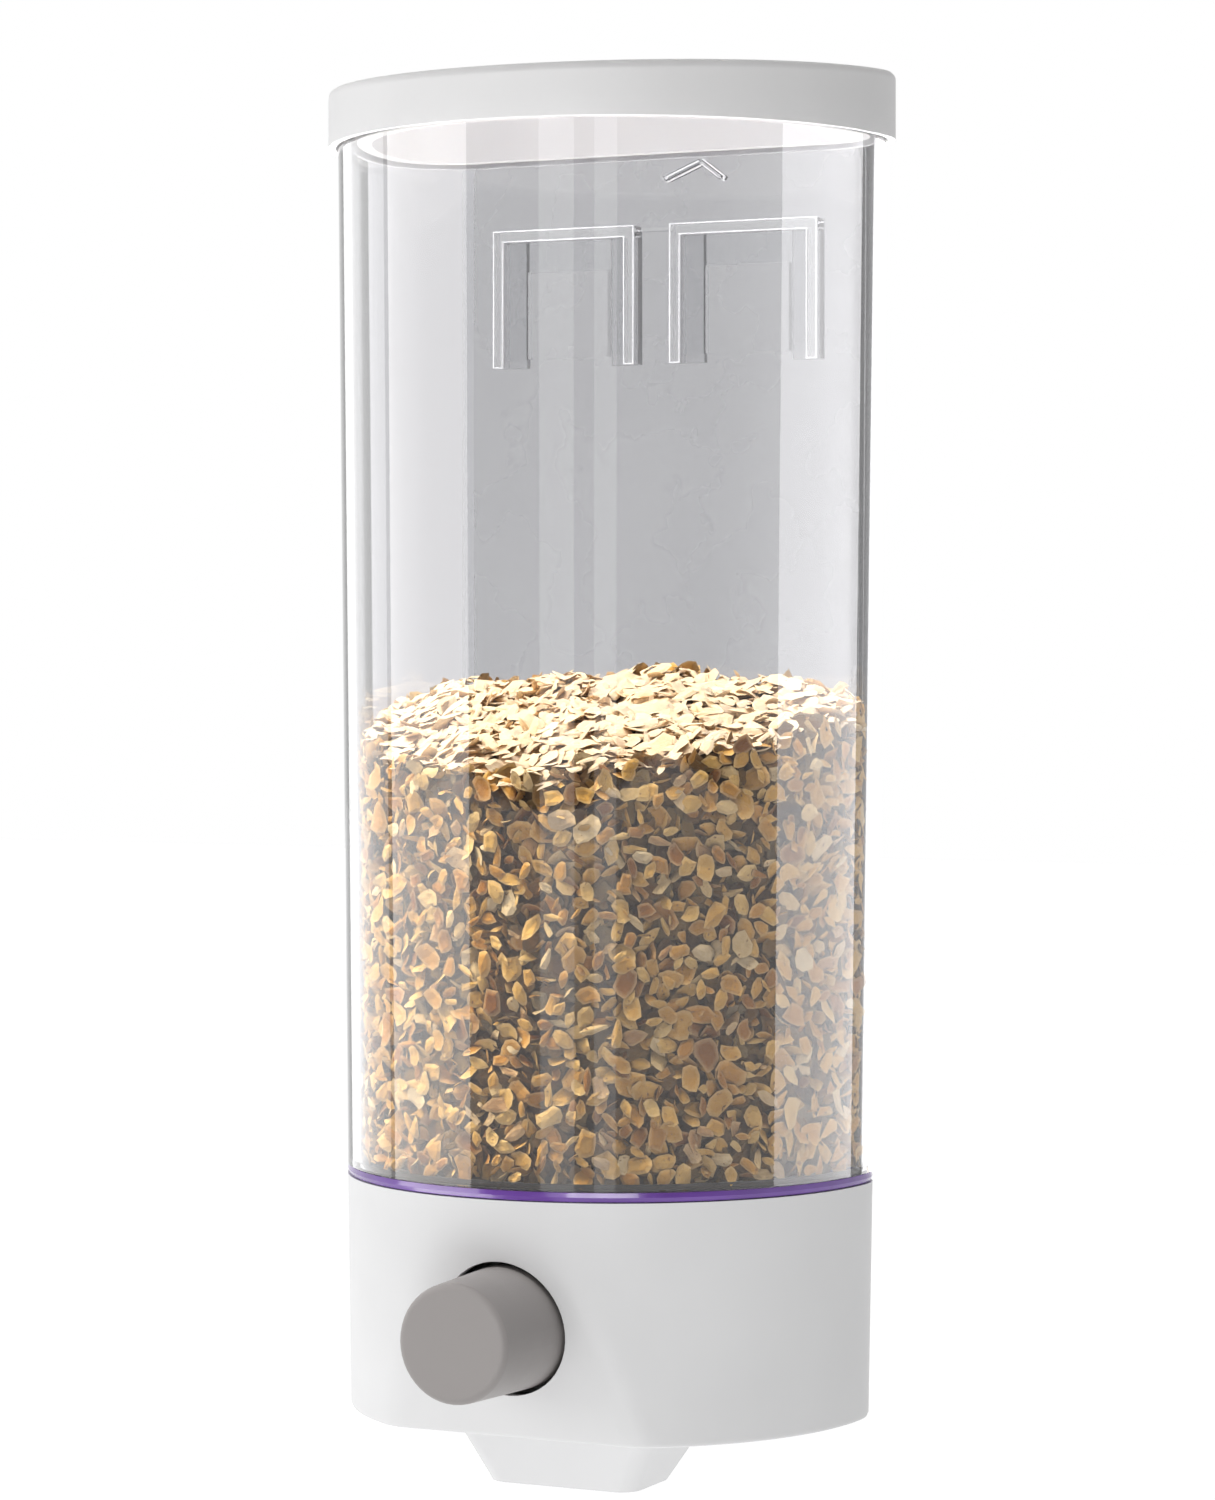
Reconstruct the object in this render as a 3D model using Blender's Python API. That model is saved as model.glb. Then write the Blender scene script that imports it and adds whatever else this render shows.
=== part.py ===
"""Wall-hung dispenser for dry food: a clear D-shaped container on a white base with a push button.

Pushing the button slides a gate back under the funnel, and a spring brings it out again.
The lid lifts off, and the whole dispenser lifts off its wall plate.

Every piece is modelled in the dispenser's own frame: X to the right, Y towards the wall with zero
at the back of the base's rim, Z up with zero at that rim. Two empties place that frame in the world,
one for what stays on the wall and one for the dispenser. The world's origin is the middle of the
adhesive pad's back, on the wall plane.
"""

import math

import bmesh
import bpy
from mathutils import Matrix, Vector

# The D outline of the base's rim: a straight back, two round corners and a half circle in front.
HALF_WIDTH = 0.050
DEPTH = 0.065
CORNER_RADIUS = 0.015
MIDDLE_Y = -DEPTH / 2
CORNER_STEPS = 8
FRONT_STEPS = 56
SMOOTH_ANGLE = 30

# Heights above the rim, the outline's scale about its middle at those heights, and the lid's overhang.
BASE_TOP = 0.0435
CONTAINER_BOTTOM = 0.0455
CONTAINER_TOP = 0.2420
LID_BOTTOM = 0.2357
BASE_TOP_SCALE = 1.014
CONTAINER_TOP_SCALE = 1.0605
LID_OVERHANG = 0.00175
LID_BACK_TOP = 0.2489
LID_FRONT_TOP = 0.2452

# The lid's skirt and roof, and inside it a collar with a rim that keeps the seal on it.
LID_SKIRT = 0.0014
LID_ROOF = 0.0018
LID_FILLET = 0.0016
LID_FILLET_STEPS = 5
LID_COLLAR_BOTTOM = LID_BOTTOM + 0.0005
LID_COLLAR_WALL = 0.0016
LID_COLLAR_RIM = 0.0010
LID_COLLAR_REACH = 0.0012
LID_SEAL_WIDTH = 0.0020
LID_SEAL_HEIGHT = 0.0028
LID_SEAL_ROUNDING = 0.0006

# Gaps: between pieces that touch, and round pieces that slide.
TOUCH = 0.0003
RUNNING = 0.0003

# How far joined shapes run into each other, and how far a cutter reaches past what it cuts.
SINK = 0.0002
CUT = 0.0010

# Wall plate and the hanging ribs that drop over its tongues.
PLATE_MIDDLE = 0.1830
PLATE_HALF_WIDTH = 0.0440
PLATE_HALF_HEIGHT = 0.0580
PLATE_CORNER = 0.0060
PLATE_FRONT = 0.0056
PLATE_THICKNESS = 0.0020
PAD_THICKNESS = 0.0008
PAD_MARGIN = 0.0020
PAD_CORNER = 0.0050
RIB_INNER_X = 0.0039
RIB_OUTER_X = 0.0343
RIB_BOTTOM = 0.1965
RIB_TOP = 0.2230
RIB_WIDTH = 0.0020
RIB_BACK = 0.0053
RIB_STEP = 0.0005
LIP_THICKNESS = 0.0013
LIP_WIDTH = 0.0040
TONGUE_THICKNESS = 0.0014
TONGUE_BOTTOM = RIB_BOTTOM + 0.0015
TONGUE_FIT = 0.0004
WEB_TOP = RIB_TOP - 0.0080
WEB_FIT = 0.0005
WEB_ROOT = 0.0008
WALL_Y = PLATE_FRONT + PLATE_THICKNESS + TOUCH + PAD_THICKNESS

# Low marks on the container's back: a link between the ribs, and two slanted ribs under the lid.
MARK_PROUD = 0.0010
LINK_BOTTOM = RIB_TOP - 0.0012
LINK_TOP = RIB_TOP - 0.0004
CATCH_APEX = (0.0108, 0.2345)
CATCH_FEET = (("left", (0.0034, 0.2315)), ("right", (0.0152, 0.2312)))
CATCH_THICKNESS = 0.0008

# Container and gasket.
CONTAINER_WALL = 0.0022
SHOULDER = 0.0012
NECK_INSET = 0.0021
NECK_WALL = 0.0013
NECK_BOTTOM = 0.0415
GASKET_GAP = 0.0002
GASKET_BULGE = 0.0003

# Base housing.
BASE_WALL = 0.0018
RIM_ROUNDING = 0.0008
LEDGE_TOP = 0.0393
LEDGE_WIDTH = 0.0024
FACET_TOP = 0.0400
FACET_DEPTH = 0.0068
FACET_ROUNDING = 0.0006
BASE_LEVEL_STEP = 0.0020
BASE_INNER_LEVELS = 4
BOSS_RADIUS = 0.0032
BOSS_TOP = 0.0160
BOSS_PLACES = ((-0.0435, -0.0080), (0.0435, -0.0080), (-0.0393, -0.0380), (0.0393, -0.0380))

# Button, all on one axis that runs along Y.
BUTTON_Z = 0.0201
BUTTON_FACE_Y = -0.0817
BUTTON_REAR_Y = -0.0570
BUTTON_FACE_RADIUS = 0.0107
BUTTON_REAR_RADIUS = 0.0115
BUTTON_EDGE = 0.0013
BUTTON_INNER_RADIUS = 0.0095
BUTTON_HOLE_RADIUS = 0.0123
BUTTON_HOLE_FRONT = -0.0800
BUTTON_HOLE_REAR = -0.0500
BUTTON_FACE_WALL = 0.0020
BUTTON_EDGE_STEPS = 5
BUTTON_DRAFT = 0.0005
BUTTON_PEG = 0.0045
BUTTON_TRAVEL = 0.0140
ROUND_STEPS = 48
SMALL_ROUND_STEPS = 24

# Throat of the funnel and the gate under it.
THROAT_Y = -0.0300
THROAT_HALF_X = 0.0180
THROAT_HALF_Y = 0.0060
THROAT_POWER = 6
THROAT_BOTTOM = 0.0170
THROAT_WALL = 0.0015
MOUTH_FRONT_Z = 0.0326
MOUTH_BACK_Z = 0.0200
HOPPER_FLANGE_TOP = 0.0410
HOPPER_FLANGE_BOTTOM = LEDGE_TOP + TOUCH
HOPPER_FOOT = 0.0014
THROAT_SEAL_GAP = 0.0004
THROAT_SEAL_INSET = 0.0001
GATE_BOTTOM = 0.0134
GATE_TOP = 0.0152
GATE_HALF_X = 0.0265
GATE_FRONT_Y = -0.0530
GATE_BACK_Y = -0.0170
GATE_TAB_HALF_X = 0.0130

# Yoke: a collar in the button's open end, ears that stop it, and arms down to feet on the gate.
YOKE_FOOT_FRONT = -0.0567
YOKE_FOOT_REAR = -0.0528
YOKE_FOOT_OUTER_X = 0.0115
YOKE_FOOT_BOTTOM = GATE_TOP + TOUCH
YOKE_FOOT_TOP = 0.0175
YOKE_ARM_INNER_X = 0.0056
YOKE_ARM_OUTER_X = 0.0079
YOKE_ARM_STEP = 0.0006
YOKE_ARM_SINK = 0.0001
YOKE_SCREW_X = 0.0089
YOKE_SCREW_Y = -0.0547
COLLAR_RADIUS = BUTTON_INNER_RADIUS - TOUCH
COLLAR_HOLE = 0.0056
COLLAR_FRONT = -0.0620
COLLAR_REAR = -0.0573
EAR_FRONT = -0.0594
EAR_ROOT = 0.0080
EAR_REACH = 0.0136
EAR_HALF_HEIGHT = 0.0015
EAR_SLOT_HALF_X = 0.0140
EAR_SLOT_REAR = BUTTON_REAR_Y + 0.0020

# Bottom cover, rails and chute.
COVER_BOTTOM = 0.0018
COVER_TOP = 0.0034
RAIL_INNER_X = 0.0246
RAIL_OUTER_X = 0.0300
RAIL_TOP = 0.0175
RAIL_FRONT_Y = -0.0500
RAIL_BACK_Y = -0.0040
RAIL_HOLE_TOP = 0.0115
RAIL_SCREW_PLACES = ((-0.0273, -0.0120), (0.0273, -0.0120), (-0.0273, -0.0440), (0.0273, -0.0440))

# The chute's sections from top to bottom, each as half width, front and back.
CHUTE_WALL = 0.0015
CHUTE_CORNER = 0.0040
CHUTE_TOP = 0.0129
CHUTE_BOTTOM = -0.0120
CHUTE_FLANGE_THICKNESS = 0.0013
CHUTE_MOUTH = (0.0215, -0.0410, -0.0135)
CHUTE_SHOULDER = (0.0215, -0.0432, -0.0130)
CHUTE_FLANGE = (0.0236, -0.0470, -0.0100)
CHUTE_NECK = (0.0215, -0.0436, -0.0130)
CHUTE_RIM = (0.0210, -0.0440, -0.0130)
CHUTE_END = (0.0150, -0.0400, -0.0215)
COVER_OPENING = (0.0222, -0.0452, -0.0118)

# Spring.
SPRING_RADIUS = 0.0040
SPRING_PEG_RADIUS = 0.0031
SPRING_SEAT_RADIUS = 0.0046
SPRING_WIRE = 0.0004
SPRING_TURNS = 9
SPRING_STEPS = 14
SPRING_SIDES = 6
SPRING_CLOSING = 0.06
SEAT_DISC = 0.0017
SEAT_PEG = 0.0065
SEAT_PEG_TAPER = 0.0008
SEAT_PEG_TIP = 0.8
SPRING_FRONT_Y = BUTTON_FACE_Y + BUTTON_FACE_WALL + TOUCH
SPRING_REAR_Y = -0.0398

# Screws.
SCREW_SHANK = 0.0010
SCREW_HEAD = 0.0019
SCREW_HEAD_HEIGHT = 0.0010
SCREW_STEPS = 16
SCREW_TIP = 0.0006
SCREW_HEAD_TAPER = 0.8
SCREW_TIP_TAPER = 0.4
COVER_SCREW_END = 0.0125
RAIL_SCREW_END = 0.0108
YOKE_SCREW_END = GATE_BOTTOM + 0.0002

# Rubber bumpers on the base's back.
BUMPER_X = 0.0260
BUMPER_Z = 0.0220
BUMPER_START = 0.0008
BUMPER_FOOT = 0.0055
BUMPER_RADIUS = 0.0050
BUMPER_ROUNDING = 0.0006


def clear_scene():
    for thing in list(bpy.data.objects):
        bpy.data.objects.remove(thing)


def material(name, colour, roughness, metallic=0.0, transmission=0.0):
    made = bpy.data.materials.new(name)
    made.use_nodes = True
    shader = made.node_tree.nodes["Principled BSDF"]
    shader.inputs["Base Color"].default_value = (*colour, 1.0)
    shader.inputs["Roughness"].default_value = roughness
    shader.inputs["Metallic"].default_value = metallic
    shader.inputs["Transmission Weight"].default_value = transmission
    return made


def make_materials():
    return {
        "white": material("white_plastic", (0.84, 0.84, 0.84), 0.35),
        "clear": material("clear_plastic", (0.92, 0.93, 0.95), 0.05, transmission=1.0),
        "violet": material("violet_silicone", (0.15, 0.08, 0.32), 0.30),
        "grey": material("grey_plastic", (0.36, 0.34, 0.34), 0.50),
        "silicone": material("pale_silicone", (0.78, 0.78, 0.76), 0.60),
        "inner": material("inner_plastic", (0.70, 0.70, 0.70), 0.45),
        "steel": material("spring_steel", (0.60, 0.61, 0.62), 0.25, metallic=1.0),
        "film": material("adhesive_film", (0.90, 0.92, 0.93), 0.15, transmission=0.9),
        "rubber": material("bumper_rubber", (0.05, 0.05, 0.05), 0.80),
    }


def empty(name, location, parent=None):
    made = bpy.data.objects.new(name, None)
    made.location = location
    made.parent = parent
    bpy.context.scene.collection.objects.link(made)
    return made


def link_mesh(name, shape, finish, parent):
    """An object from a bmesh in the dispenser's frame, with its own origin on its parent."""
    bmesh.ops.recalc_face_normals(shape, faces=shape.faces)
    offset = Vector(parent.location) if parent.parent else Vector()
    shape.transform(Matrix.Translation(-offset))
    mesh = bpy.data.meshes.new(name)
    shape.to_mesh(mesh)
    shape.free()
    mesh.shade_smooth()
    mesh.set_sharp_from_angle(angle=math.radians(SMOOTH_ANGLE))
    mesh.materials.append(finish)
    made = bpy.data.objects.new(name, mesh)
    made.parent = parent
    bpy.context.scene.collection.objects.link(made)
    return made


def helper(made):
    """Marks an object as a tool that shapes another and isn't a piece itself."""
    made.hide_render = True
    made.display_type = "WIRE"
    return made


def shape_with(target, tool, operation):
    step = target.modifiers.new(tool.name, "BOOLEAN")
    step.operation = operation
    step.object = helper(tool)
    step.solver = "EXACT"


def bridge(shape, lower, upper):
    """Faces between two rings of vertices. A ring of one vertex is a pole."""
    count = max(len(lower), len(upper))
    for first in range(count):
        second = (first + 1) % count
        corners = [
            lower[first % len(lower)],
            lower[second % len(lower)],
            upper[second % len(upper)],
            upper[first % len(upper)],
        ]
        shape.faces.new(list(dict.fromkeys(corners)))


def rings_to_shape(rings, closed):
    """A closed surface through rings of points: a hoop when closed, otherwise with both ends capped."""
    shape = bmesh.new()
    made = [[shape.verts.new(point) for point in ring] for ring in rings]
    for lower, upper in zip(made, made[1:]):
        bridge(shape, lower, upper)
    if closed:
        bridge(shape, made[-1], made[0])
    else:
        for end in (made[0], made[-1]):
            if len(end) > 1:
                shape.faces.new(end)
    return shape


def at_height(outline, height):
    return [(x, y, height) for x, y in outline]


def box(name, low, high, finish, parent):
    shape = bmesh.new()
    bmesh.ops.create_cube(shape, size=1.0)
    size = Vector(high) - Vector(low)
    middle = (Vector(high) + Vector(low)) / 2
    shape.transform(Matrix.Translation(middle) @ Matrix.Diagonal((*size, 1.0)))
    return link_mesh(name, shape, finish, parent)


def lathe(name, profile, centre, axis, finish, parent, steps=ROUND_STEPS):
    """Turns (radius, distance) points about an axis through centre, which runs along Y or Z."""
    rings = []
    for radius, along in profile:
        ring = []
        for step in range(steps if radius > 0 else 1):
            angle = math.tau * step / steps
            across = radius * math.cos(angle)
            up = radius * math.sin(angle)
            if axis == "Y":
                ring.append((centre[0] + across, along, centre[2] + up))
            else:
                ring.append((centre[0] + across, centre[1] + up, along))
        rings.append(ring)
    return link_mesh(name, rings_to_shape(rings, closed=False), finish, parent)


def rod(name, centre, axis, radius, start, end, finish, parent, steps=ROUND_STEPS):
    profile = [(radius, start), (radius, end)]
    return lathe(name, profile, centre, axis, finish, parent, steps)


def prism(name, outline, low, high, finish, parent):
    rings = [at_height(outline, low), at_height(outline, high)]
    return link_mesh(name, rings_to_shape(rings, closed=False), finish, parent)


def arc(centre, radius, start, end, steps):
    """Points on a circle from one angle to another, in degrees, both ends included."""
    points = []
    for step in range(steps + 1):
        angle = math.radians(start + (end - start) * step / steps)
        points.append((centre[0] + radius * math.cos(angle), centre[1] + radius * math.sin(angle)))
    return points


def d_outline(scale=1.0, inset=0.0):
    """The D scaled about its middle and then moved inwards by inset."""
    arc_y = MIDDLE_Y + (-CORNER_RADIUS - MIDDLE_Y) * scale
    corner_x = (HALF_WIDTH - CORNER_RADIUS) * scale
    corner = CORNER_RADIUS * scale - inset
    front = HALF_WIDTH * scale - inset
    right = arc((corner_x, arc_y), corner, 90, 0, CORNER_STEPS)
    round_front = arc((0.0, arc_y), front, 0, -180, FRONT_STEPS)
    left = arc((-corner_x, arc_y), corner, 180, 90, CORNER_STEPS)
    return right + round_front[1:-1] + left


def base_scale(height):
    return 1.0 + (BASE_TOP_SCALE - 1.0) * height / BASE_TOP


def container_scale(height):
    share = (height - BASE_TOP) / (CONTAINER_TOP - BASE_TOP)
    return BASE_TOP_SCALE + (CONTAINER_TOP_SCALE - BASE_TOP_SCALE) * share


def facet_y(height):
    """Where the flat front facet lies at a height. It leans back towards the rim."""
    top_y = MIDDLE_Y + MIDDLE_Y * base_scale(FACET_TOP)
    return top_y + (FACET_DEPTH + MIDDLE_Y * (1.0 - base_scale(FACET_TOP))) * (1.0 - height / FACET_TOP)


def soft_max(first, second, blend):
    share = min(max(0.5 + 0.5 * (first - second) / blend, 0.0), 1.0)
    return second + (first - second) * share + blend * share * (1.0 - share)


def base_ring(height, inset):
    """The base's outline at a height, cut by the facet with a softened crease."""
    flat = facet_y(height) + inset
    ring = []
    for x, y in d_outline(base_scale(height), inset):
        ring.append((x, soft_max(y, flat, FACET_ROUNDING) if y < MIDDLE_Y else y, height))
    return ring


def container_ring(height, inset):
    return at_height(d_outline(container_scale(height), inset), height)


def rounded_box(half_x, front_y, back_y, corner, steps=4):
    """A rectangle with round corners, symmetric about x = 0."""
    inner_x = half_x - corner
    points = arc((inner_x, back_y - corner), corner, 90, 0, steps)
    points += arc((inner_x, front_y + corner), corner, 0, -90, steps)
    points += arc((-inner_x, front_y + corner), corner, -90, -180, steps)
    points += arc((-inner_x, back_y - corner), corner, 180, 90, steps)
    return points


def throat_point(direction_x, direction_y, grow):
    """Where a ray from the throat's middle meets its rounded outline, moved out by grow."""
    half_x = THROAT_HALF_X + grow
    half_y = THROAT_HALF_Y + grow
    share = (abs(direction_x) / half_x) ** THROAT_POWER + (abs(direction_y) / half_y) ** THROAT_POWER
    reach = share ** (-1.0 / THROAT_POWER)
    return direction_x * reach, THROAT_Y + direction_y * reach


def throat_outline(grow, steps=ROUND_STEPS):
    outline = []
    for step in range(steps):
        angle = math.tau * step / steps
        direction_x = (THROAT_HALF_X + grow) * math.cos(angle)
        direction_y = (THROAT_HALF_Y + grow) * math.sin(angle)
        outline.append(throat_point(direction_x, direction_y, grow))
    return outline


def make_container(finish, frame):
    neck_inner = NECK_INSET + NECK_WALL
    rings = [
        container_ring(CONTAINER_BOTTOM, 0.0),
        container_ring(CONTAINER_TOP, 0.0),
        container_ring(CONTAINER_TOP, CONTAINER_WALL),
        container_ring(CONTAINER_BOTTOM + SHOULDER, CONTAINER_WALL),
        container_ring(CONTAINER_BOTTOM, neck_inner),
        container_ring(NECK_BOTTOM, neck_inner),
        container_ring(NECK_BOTTOM, NECK_INSET),
        container_ring(CONTAINER_BOTTOM, NECK_INSET),
    ]
    made = link_mesh("container", rings_to_shape(rings, closed=True), finish, frame)
    for side, name in ((-1, "left"), (1, "right")):
        add_hanging_rib(made, side, name, finish, frame)
    add_back_marks(made, finish, frame)
    return made


def wall_inside(height):
    """A depth inside the container's back wall, where ribs are rooted."""
    back = MIDDLE_Y - MIDDLE_Y * container_scale(height)
    return back - CONTAINER_WALL / 2


def add_hanging_rib(container, side, name, finish, frame):
    """One inverted U with a lip along each leg, open at the bottom for the tongue."""
    root = wall_inside(RIB_BOTTOM)
    lip_front = RIB_BACK - LIP_THICKNESS
    inner_leg = RIB_INNER_X + RIB_WIDTH
    outer_leg = RIB_OUTER_X - RIB_WIDTH
    top_bar = RIB_TOP - RIB_WIDTH
    pieces = {
        "top": (RIB_INNER_X, RIB_OUTER_X, root, top_bar, RIB_TOP),
        "inner_leg": (RIB_INNER_X, inner_leg, root, RIB_BOTTOM, RIB_TOP - RIB_STEP),
        "outer_leg": (outer_leg, RIB_OUTER_X, root, RIB_BOTTOM, RIB_TOP - RIB_STEP),
        "inner_lip": (RIB_INNER_X + RIB_STEP, inner_leg + LIP_WIDTH, lip_front, RIB_BOTTOM, RIB_TOP - 2 * RIB_STEP),
        "outer_lip": (outer_leg - LIP_WIDTH, RIB_OUTER_X - RIB_STEP, lip_front, RIB_BOTTOM, RIB_TOP - 2 * RIB_STEP),
    }
    for part, (near_x, far_x, front, low_z, high_z) in pieces.items():
        low = (min(side * near_x, side * far_x), front, low_z)
        high = (max(side * near_x, side * far_x), RIB_BACK, high_z)
        tool = box(f"rib_{name}_{part}", low, high, finish, frame)
        shape_with(container, tool, "UNION")


def add_back_marks(container, finish, frame):
    """A low rib that joins the two hanging ribs, and two slanted catch ribs under the lid."""
    root = wall_inside(RIB_TOP)
    low = (-RIB_INNER_X - RIB_STEP, root, LINK_BOTTOM)
    high = (RIB_INNER_X + RIB_STEP, root + CONTAINER_WALL / 2 + MARK_PROUD, LINK_TOP)
    shape_with(container, box("rib_link", low, high, finish, frame), "UNION")
    apex = Vector((CATCH_APEX[0], root, CATCH_APEX[1]))
    for name, foot in CATCH_FEET:
        end = Vector((foot[0], root, foot[1]))
        reach = end - apex
        shape = bmesh.new()
        bmesh.ops.create_cube(shape, size=1.0)
        length = reach.length
        turn = Matrix.Rotation(-math.atan2(reach.z, reach.x), 4, "Y")
        size = Matrix.Diagonal((length, CONTAINER_WALL + 2 * MARK_PROUD, CATCH_THICKNESS, 1.0))
        shape.transform(Matrix.Translation((apex + end) / 2) @ turn @ size)
        shape_with(container, link_mesh(f"catch_{name}", shape, finish, frame), "UNION")


def make_gasket(finish, frame):
    low = BASE_TOP + GASKET_GAP
    high = CONTAINER_BOTTOM - GASKET_GAP
    inner = BASE_WALL
    rings = [
        container_ring(low, inner),
        container_ring(low, GASKET_BULGE),
        container_ring((low + high) / 2, 0.0),
        container_ring(high, GASKET_BULGE),
        container_ring(high, inner),
    ]
    return link_mesh("seam_gasket", rings_to_shape(rings, closed=True), finish, frame)


def base_outer_rings():
    rings = [
        base_ring(0.0, RIM_ROUNDING),
        base_ring(RIM_ROUNDING * 0.3, RIM_ROUNDING * 0.3),
        base_ring(RIM_ROUNDING, 0.0),
    ]
    levels = round((BASE_TOP - RIM_ROUNDING) / BASE_LEVEL_STEP)
    for level in range(1, levels + 1):
        height = RIM_ROUNDING + (BASE_TOP - RIM_ROUNDING) * level / levels
        rings.append(base_ring(height, 0.0))
    return rings


def base_inner_rings():
    ledge_inset = BASE_WALL + LEDGE_WIDTH
    rings = [
        base_ring(BASE_TOP, BASE_WALL),
        base_ring(LEDGE_TOP, BASE_WALL),
        base_ring(LEDGE_TOP, ledge_inset),
        base_ring(LEDGE_TOP - LEDGE_WIDTH, BASE_WALL),
    ]
    for level in range(1, BASE_INNER_LEVELS + 1):
        height = (LEDGE_TOP - LEDGE_WIDTH) * (1.0 - level / BASE_INNER_LEVELS)
        rings.append(base_ring(height, BASE_WALL))
    return rings


def make_base(finish, frame):
    rings = base_outer_rings() + base_inner_rings()
    made = link_mesh("base_housing", rings_to_shape(rings, closed=True), finish, frame)
    for number, place in enumerate(BOSS_PLACES, 1):
        boss = rod(f"boss_{number}", (*place, 0.0), "Z", BOSS_RADIUS, COVER_TOP + TOUCH, BOSS_TOP,
                   finish, frame, SCREW_STEPS)
        shape_with(made, boss, "UNION")
    for number, place in enumerate(BOSS_PLACES, 1):
        hole = rod(f"boss_hole_{number}", (*place, 0.0), "Z", SCREW_SHANK + TOUCH, 0.0, BOSS_TOP + CUT,
                   finish, frame, SCREW_STEPS)
        shape_with(made, hole, "DIFFERENCE")
    hole = rod("button_hole", (0.0, 0.0, BUTTON_Z), "Y", BUTTON_HOLE_RADIUS, BUTTON_HOLE_FRONT,
               BUTTON_HOLE_REAR, finish, frame)
    shape_with(made, hole, "DIFFERENCE")
    return made


def make_hopper(finish, frame):
    """A flange, sloping sides and a slot-shaped throat whose mouth is higher over the button."""
    flange = NECK_INSET
    slope_top = NECK_INSET + NECK_WALL
    outline = d_outline(base_scale(HOPPER_FLANGE_TOP), flange)

    def mouth(grow, drop):
        ring = []
        for x, y in outline:
            throat_x, throat_y = throat_point(x, y - THROAT_Y, grow)
            share = (throat_y - THROAT_Y + THROAT_HALF_Y) / (2 * THROAT_HALF_Y)
            share = min(max(share, 0.0), 1.0)
            height = MOUTH_FRONT_Z + (MOUTH_BACK_Z - MOUTH_FRONT_Z) * share
            ring.append((throat_x, throat_y, height - drop))
        return ring

    def throat_end(grow):
        return [(x, y, THROAT_BOTTOM) for x, y, _ in mouth(grow, 0.0)]

    scale = base_scale(HOPPER_FLANGE_TOP)
    rings = [
        at_height(outline, HOPPER_FLANGE_TOP),
        at_height(d_outline(scale, slope_top), HOPPER_FLANGE_TOP),
        mouth(0.0, 0.0),
        throat_end(0.0),
        throat_end(THROAT_WALL),
        mouth(THROAT_WALL, THROAT_WALL),
        at_height(d_outline(scale, slope_top + HOPPER_FOOT), HOPPER_FLANGE_BOTTOM),
        at_height(outline, HOPPER_FLANGE_BOTTOM),
    ]
    return link_mesh("hopper", rings_to_shape(rings, closed=True), finish, frame)


def make_throat_seal(finish, frame):
    low = GATE_TOP + THROAT_SEAL_GAP
    high = THROAT_BOTTOM - TOUCH
    inner = throat_outline(0.0)
    outer = throat_outline(THROAT_WALL - THROAT_SEAL_INSET)
    rings = [at_height(inner, low), at_height(outer, low), at_height(outer, high), at_height(inner, high)]
    return link_mesh("throat_seal", rings_to_shape(rings, closed=True), finish, frame)


def make_gate(finish, slide):
    low = (-GATE_HALF_X, GATE_FRONT_Y, GATE_BOTTOM)
    high = (GATE_HALF_X, GATE_BACK_Y, GATE_TOP)
    made = box("gate_plate", low, high, finish, slide)
    tab_low = (-GATE_TAB_HALF_X, YOKE_FOOT_FRONT, GATE_BOTTOM)
    tab_high = (GATE_TAB_HALF_X, GATE_FRONT_Y + CUT, GATE_TOP)
    shape_with(made, box("gate_tab", tab_low, tab_high, finish, slide), "UNION")
    outline = [(x, y - BUTTON_TRAVEL) for x, y in throat_outline(0.0)]
    window = prism("gate_window", outline, GATE_BOTTOM - CUT, GATE_TOP + CUT, finish, slide)
    shape_with(made, window, "DIFFERENCE")
    for number, side in enumerate((-1, 1), 1):
        centre = (side * YOKE_SCREW_X, YOKE_SCREW_Y, 0.0)
        hole = rod(f"gate_screw_hole_{number}", centre, "Z", SCREW_SHANK + TOUCH,
                   GATE_BOTTOM - CUT, GATE_TOP + CUT, finish, slide, SCREW_STEPS)
        shape_with(made, hole, "DIFFERENCE")
    return made


def make_yoke(finish, slide):
    """A collar in the button's open end, two stop ears, and two feet on the gate."""
    collar = [(COLLAR_HOLE, COLLAR_FRONT), (COLLAR_RADIUS, COLLAR_FRONT),
              (COLLAR_RADIUS, COLLAR_REAR), (COLLAR_HOLE, COLLAR_REAR)]
    rings = []
    for radius, along in collar:
        points = arc((0.0, BUTTON_Z), radius, 0, 360, ROUND_STEPS)[:-1]
        rings.append([(x, along, z) for x, z in points])
    made = link_mesh("push_yoke", rings_to_shape(rings, closed=True), finish, slide)
    for side, name in ((-1, "left"), (1, "right")):
        parts = {
            "ear": (EAR_ROOT, EAR_REACH, EAR_FRONT, COLLAR_REAR - SINK,
                    BUTTON_Z - EAR_HALF_HEIGHT, BUTTON_Z + EAR_HALF_HEIGHT),
            "arm": (YOKE_ARM_INNER_X, YOKE_ARM_OUTER_X, COLLAR_FRONT + YOKE_ARM_STEP, YOKE_FOOT_REAR - SINK,
                    YOKE_FOOT_BOTTOM + YOKE_ARM_SINK, YOKE_FOOT_TOP - YOKE_ARM_SINK),
            "foot": (YOKE_ARM_INNER_X - SINK, YOKE_FOOT_OUTER_X, YOKE_FOOT_FRONT, YOKE_FOOT_REAR,
                     YOKE_FOOT_BOTTOM, YOKE_FOOT_TOP),
        }
        for part, (near_x, far_x, front, rear, low_z, high_z) in parts.items():
            low = (min(side * near_x, side * far_x), front, low_z)
            high = (max(side * near_x, side * far_x), rear, high_z)
            shape_with(made, box(f"yoke_{name}_{part}", low, high, finish, slide), "UNION")
        centre = (side * YOKE_SCREW_X, YOKE_SCREW_Y, 0.0)
        hole = rod(f"yoke_screw_hole_{name}", centre, "Z", SCREW_SHANK + TOUCH,
                   YOKE_FOOT_BOTTOM - CUT, YOKE_FOOT_TOP + CUT, finish, slide, SCREW_STEPS)
        shape_with(made, hole, "DIFFERENCE")
    return made


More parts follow.
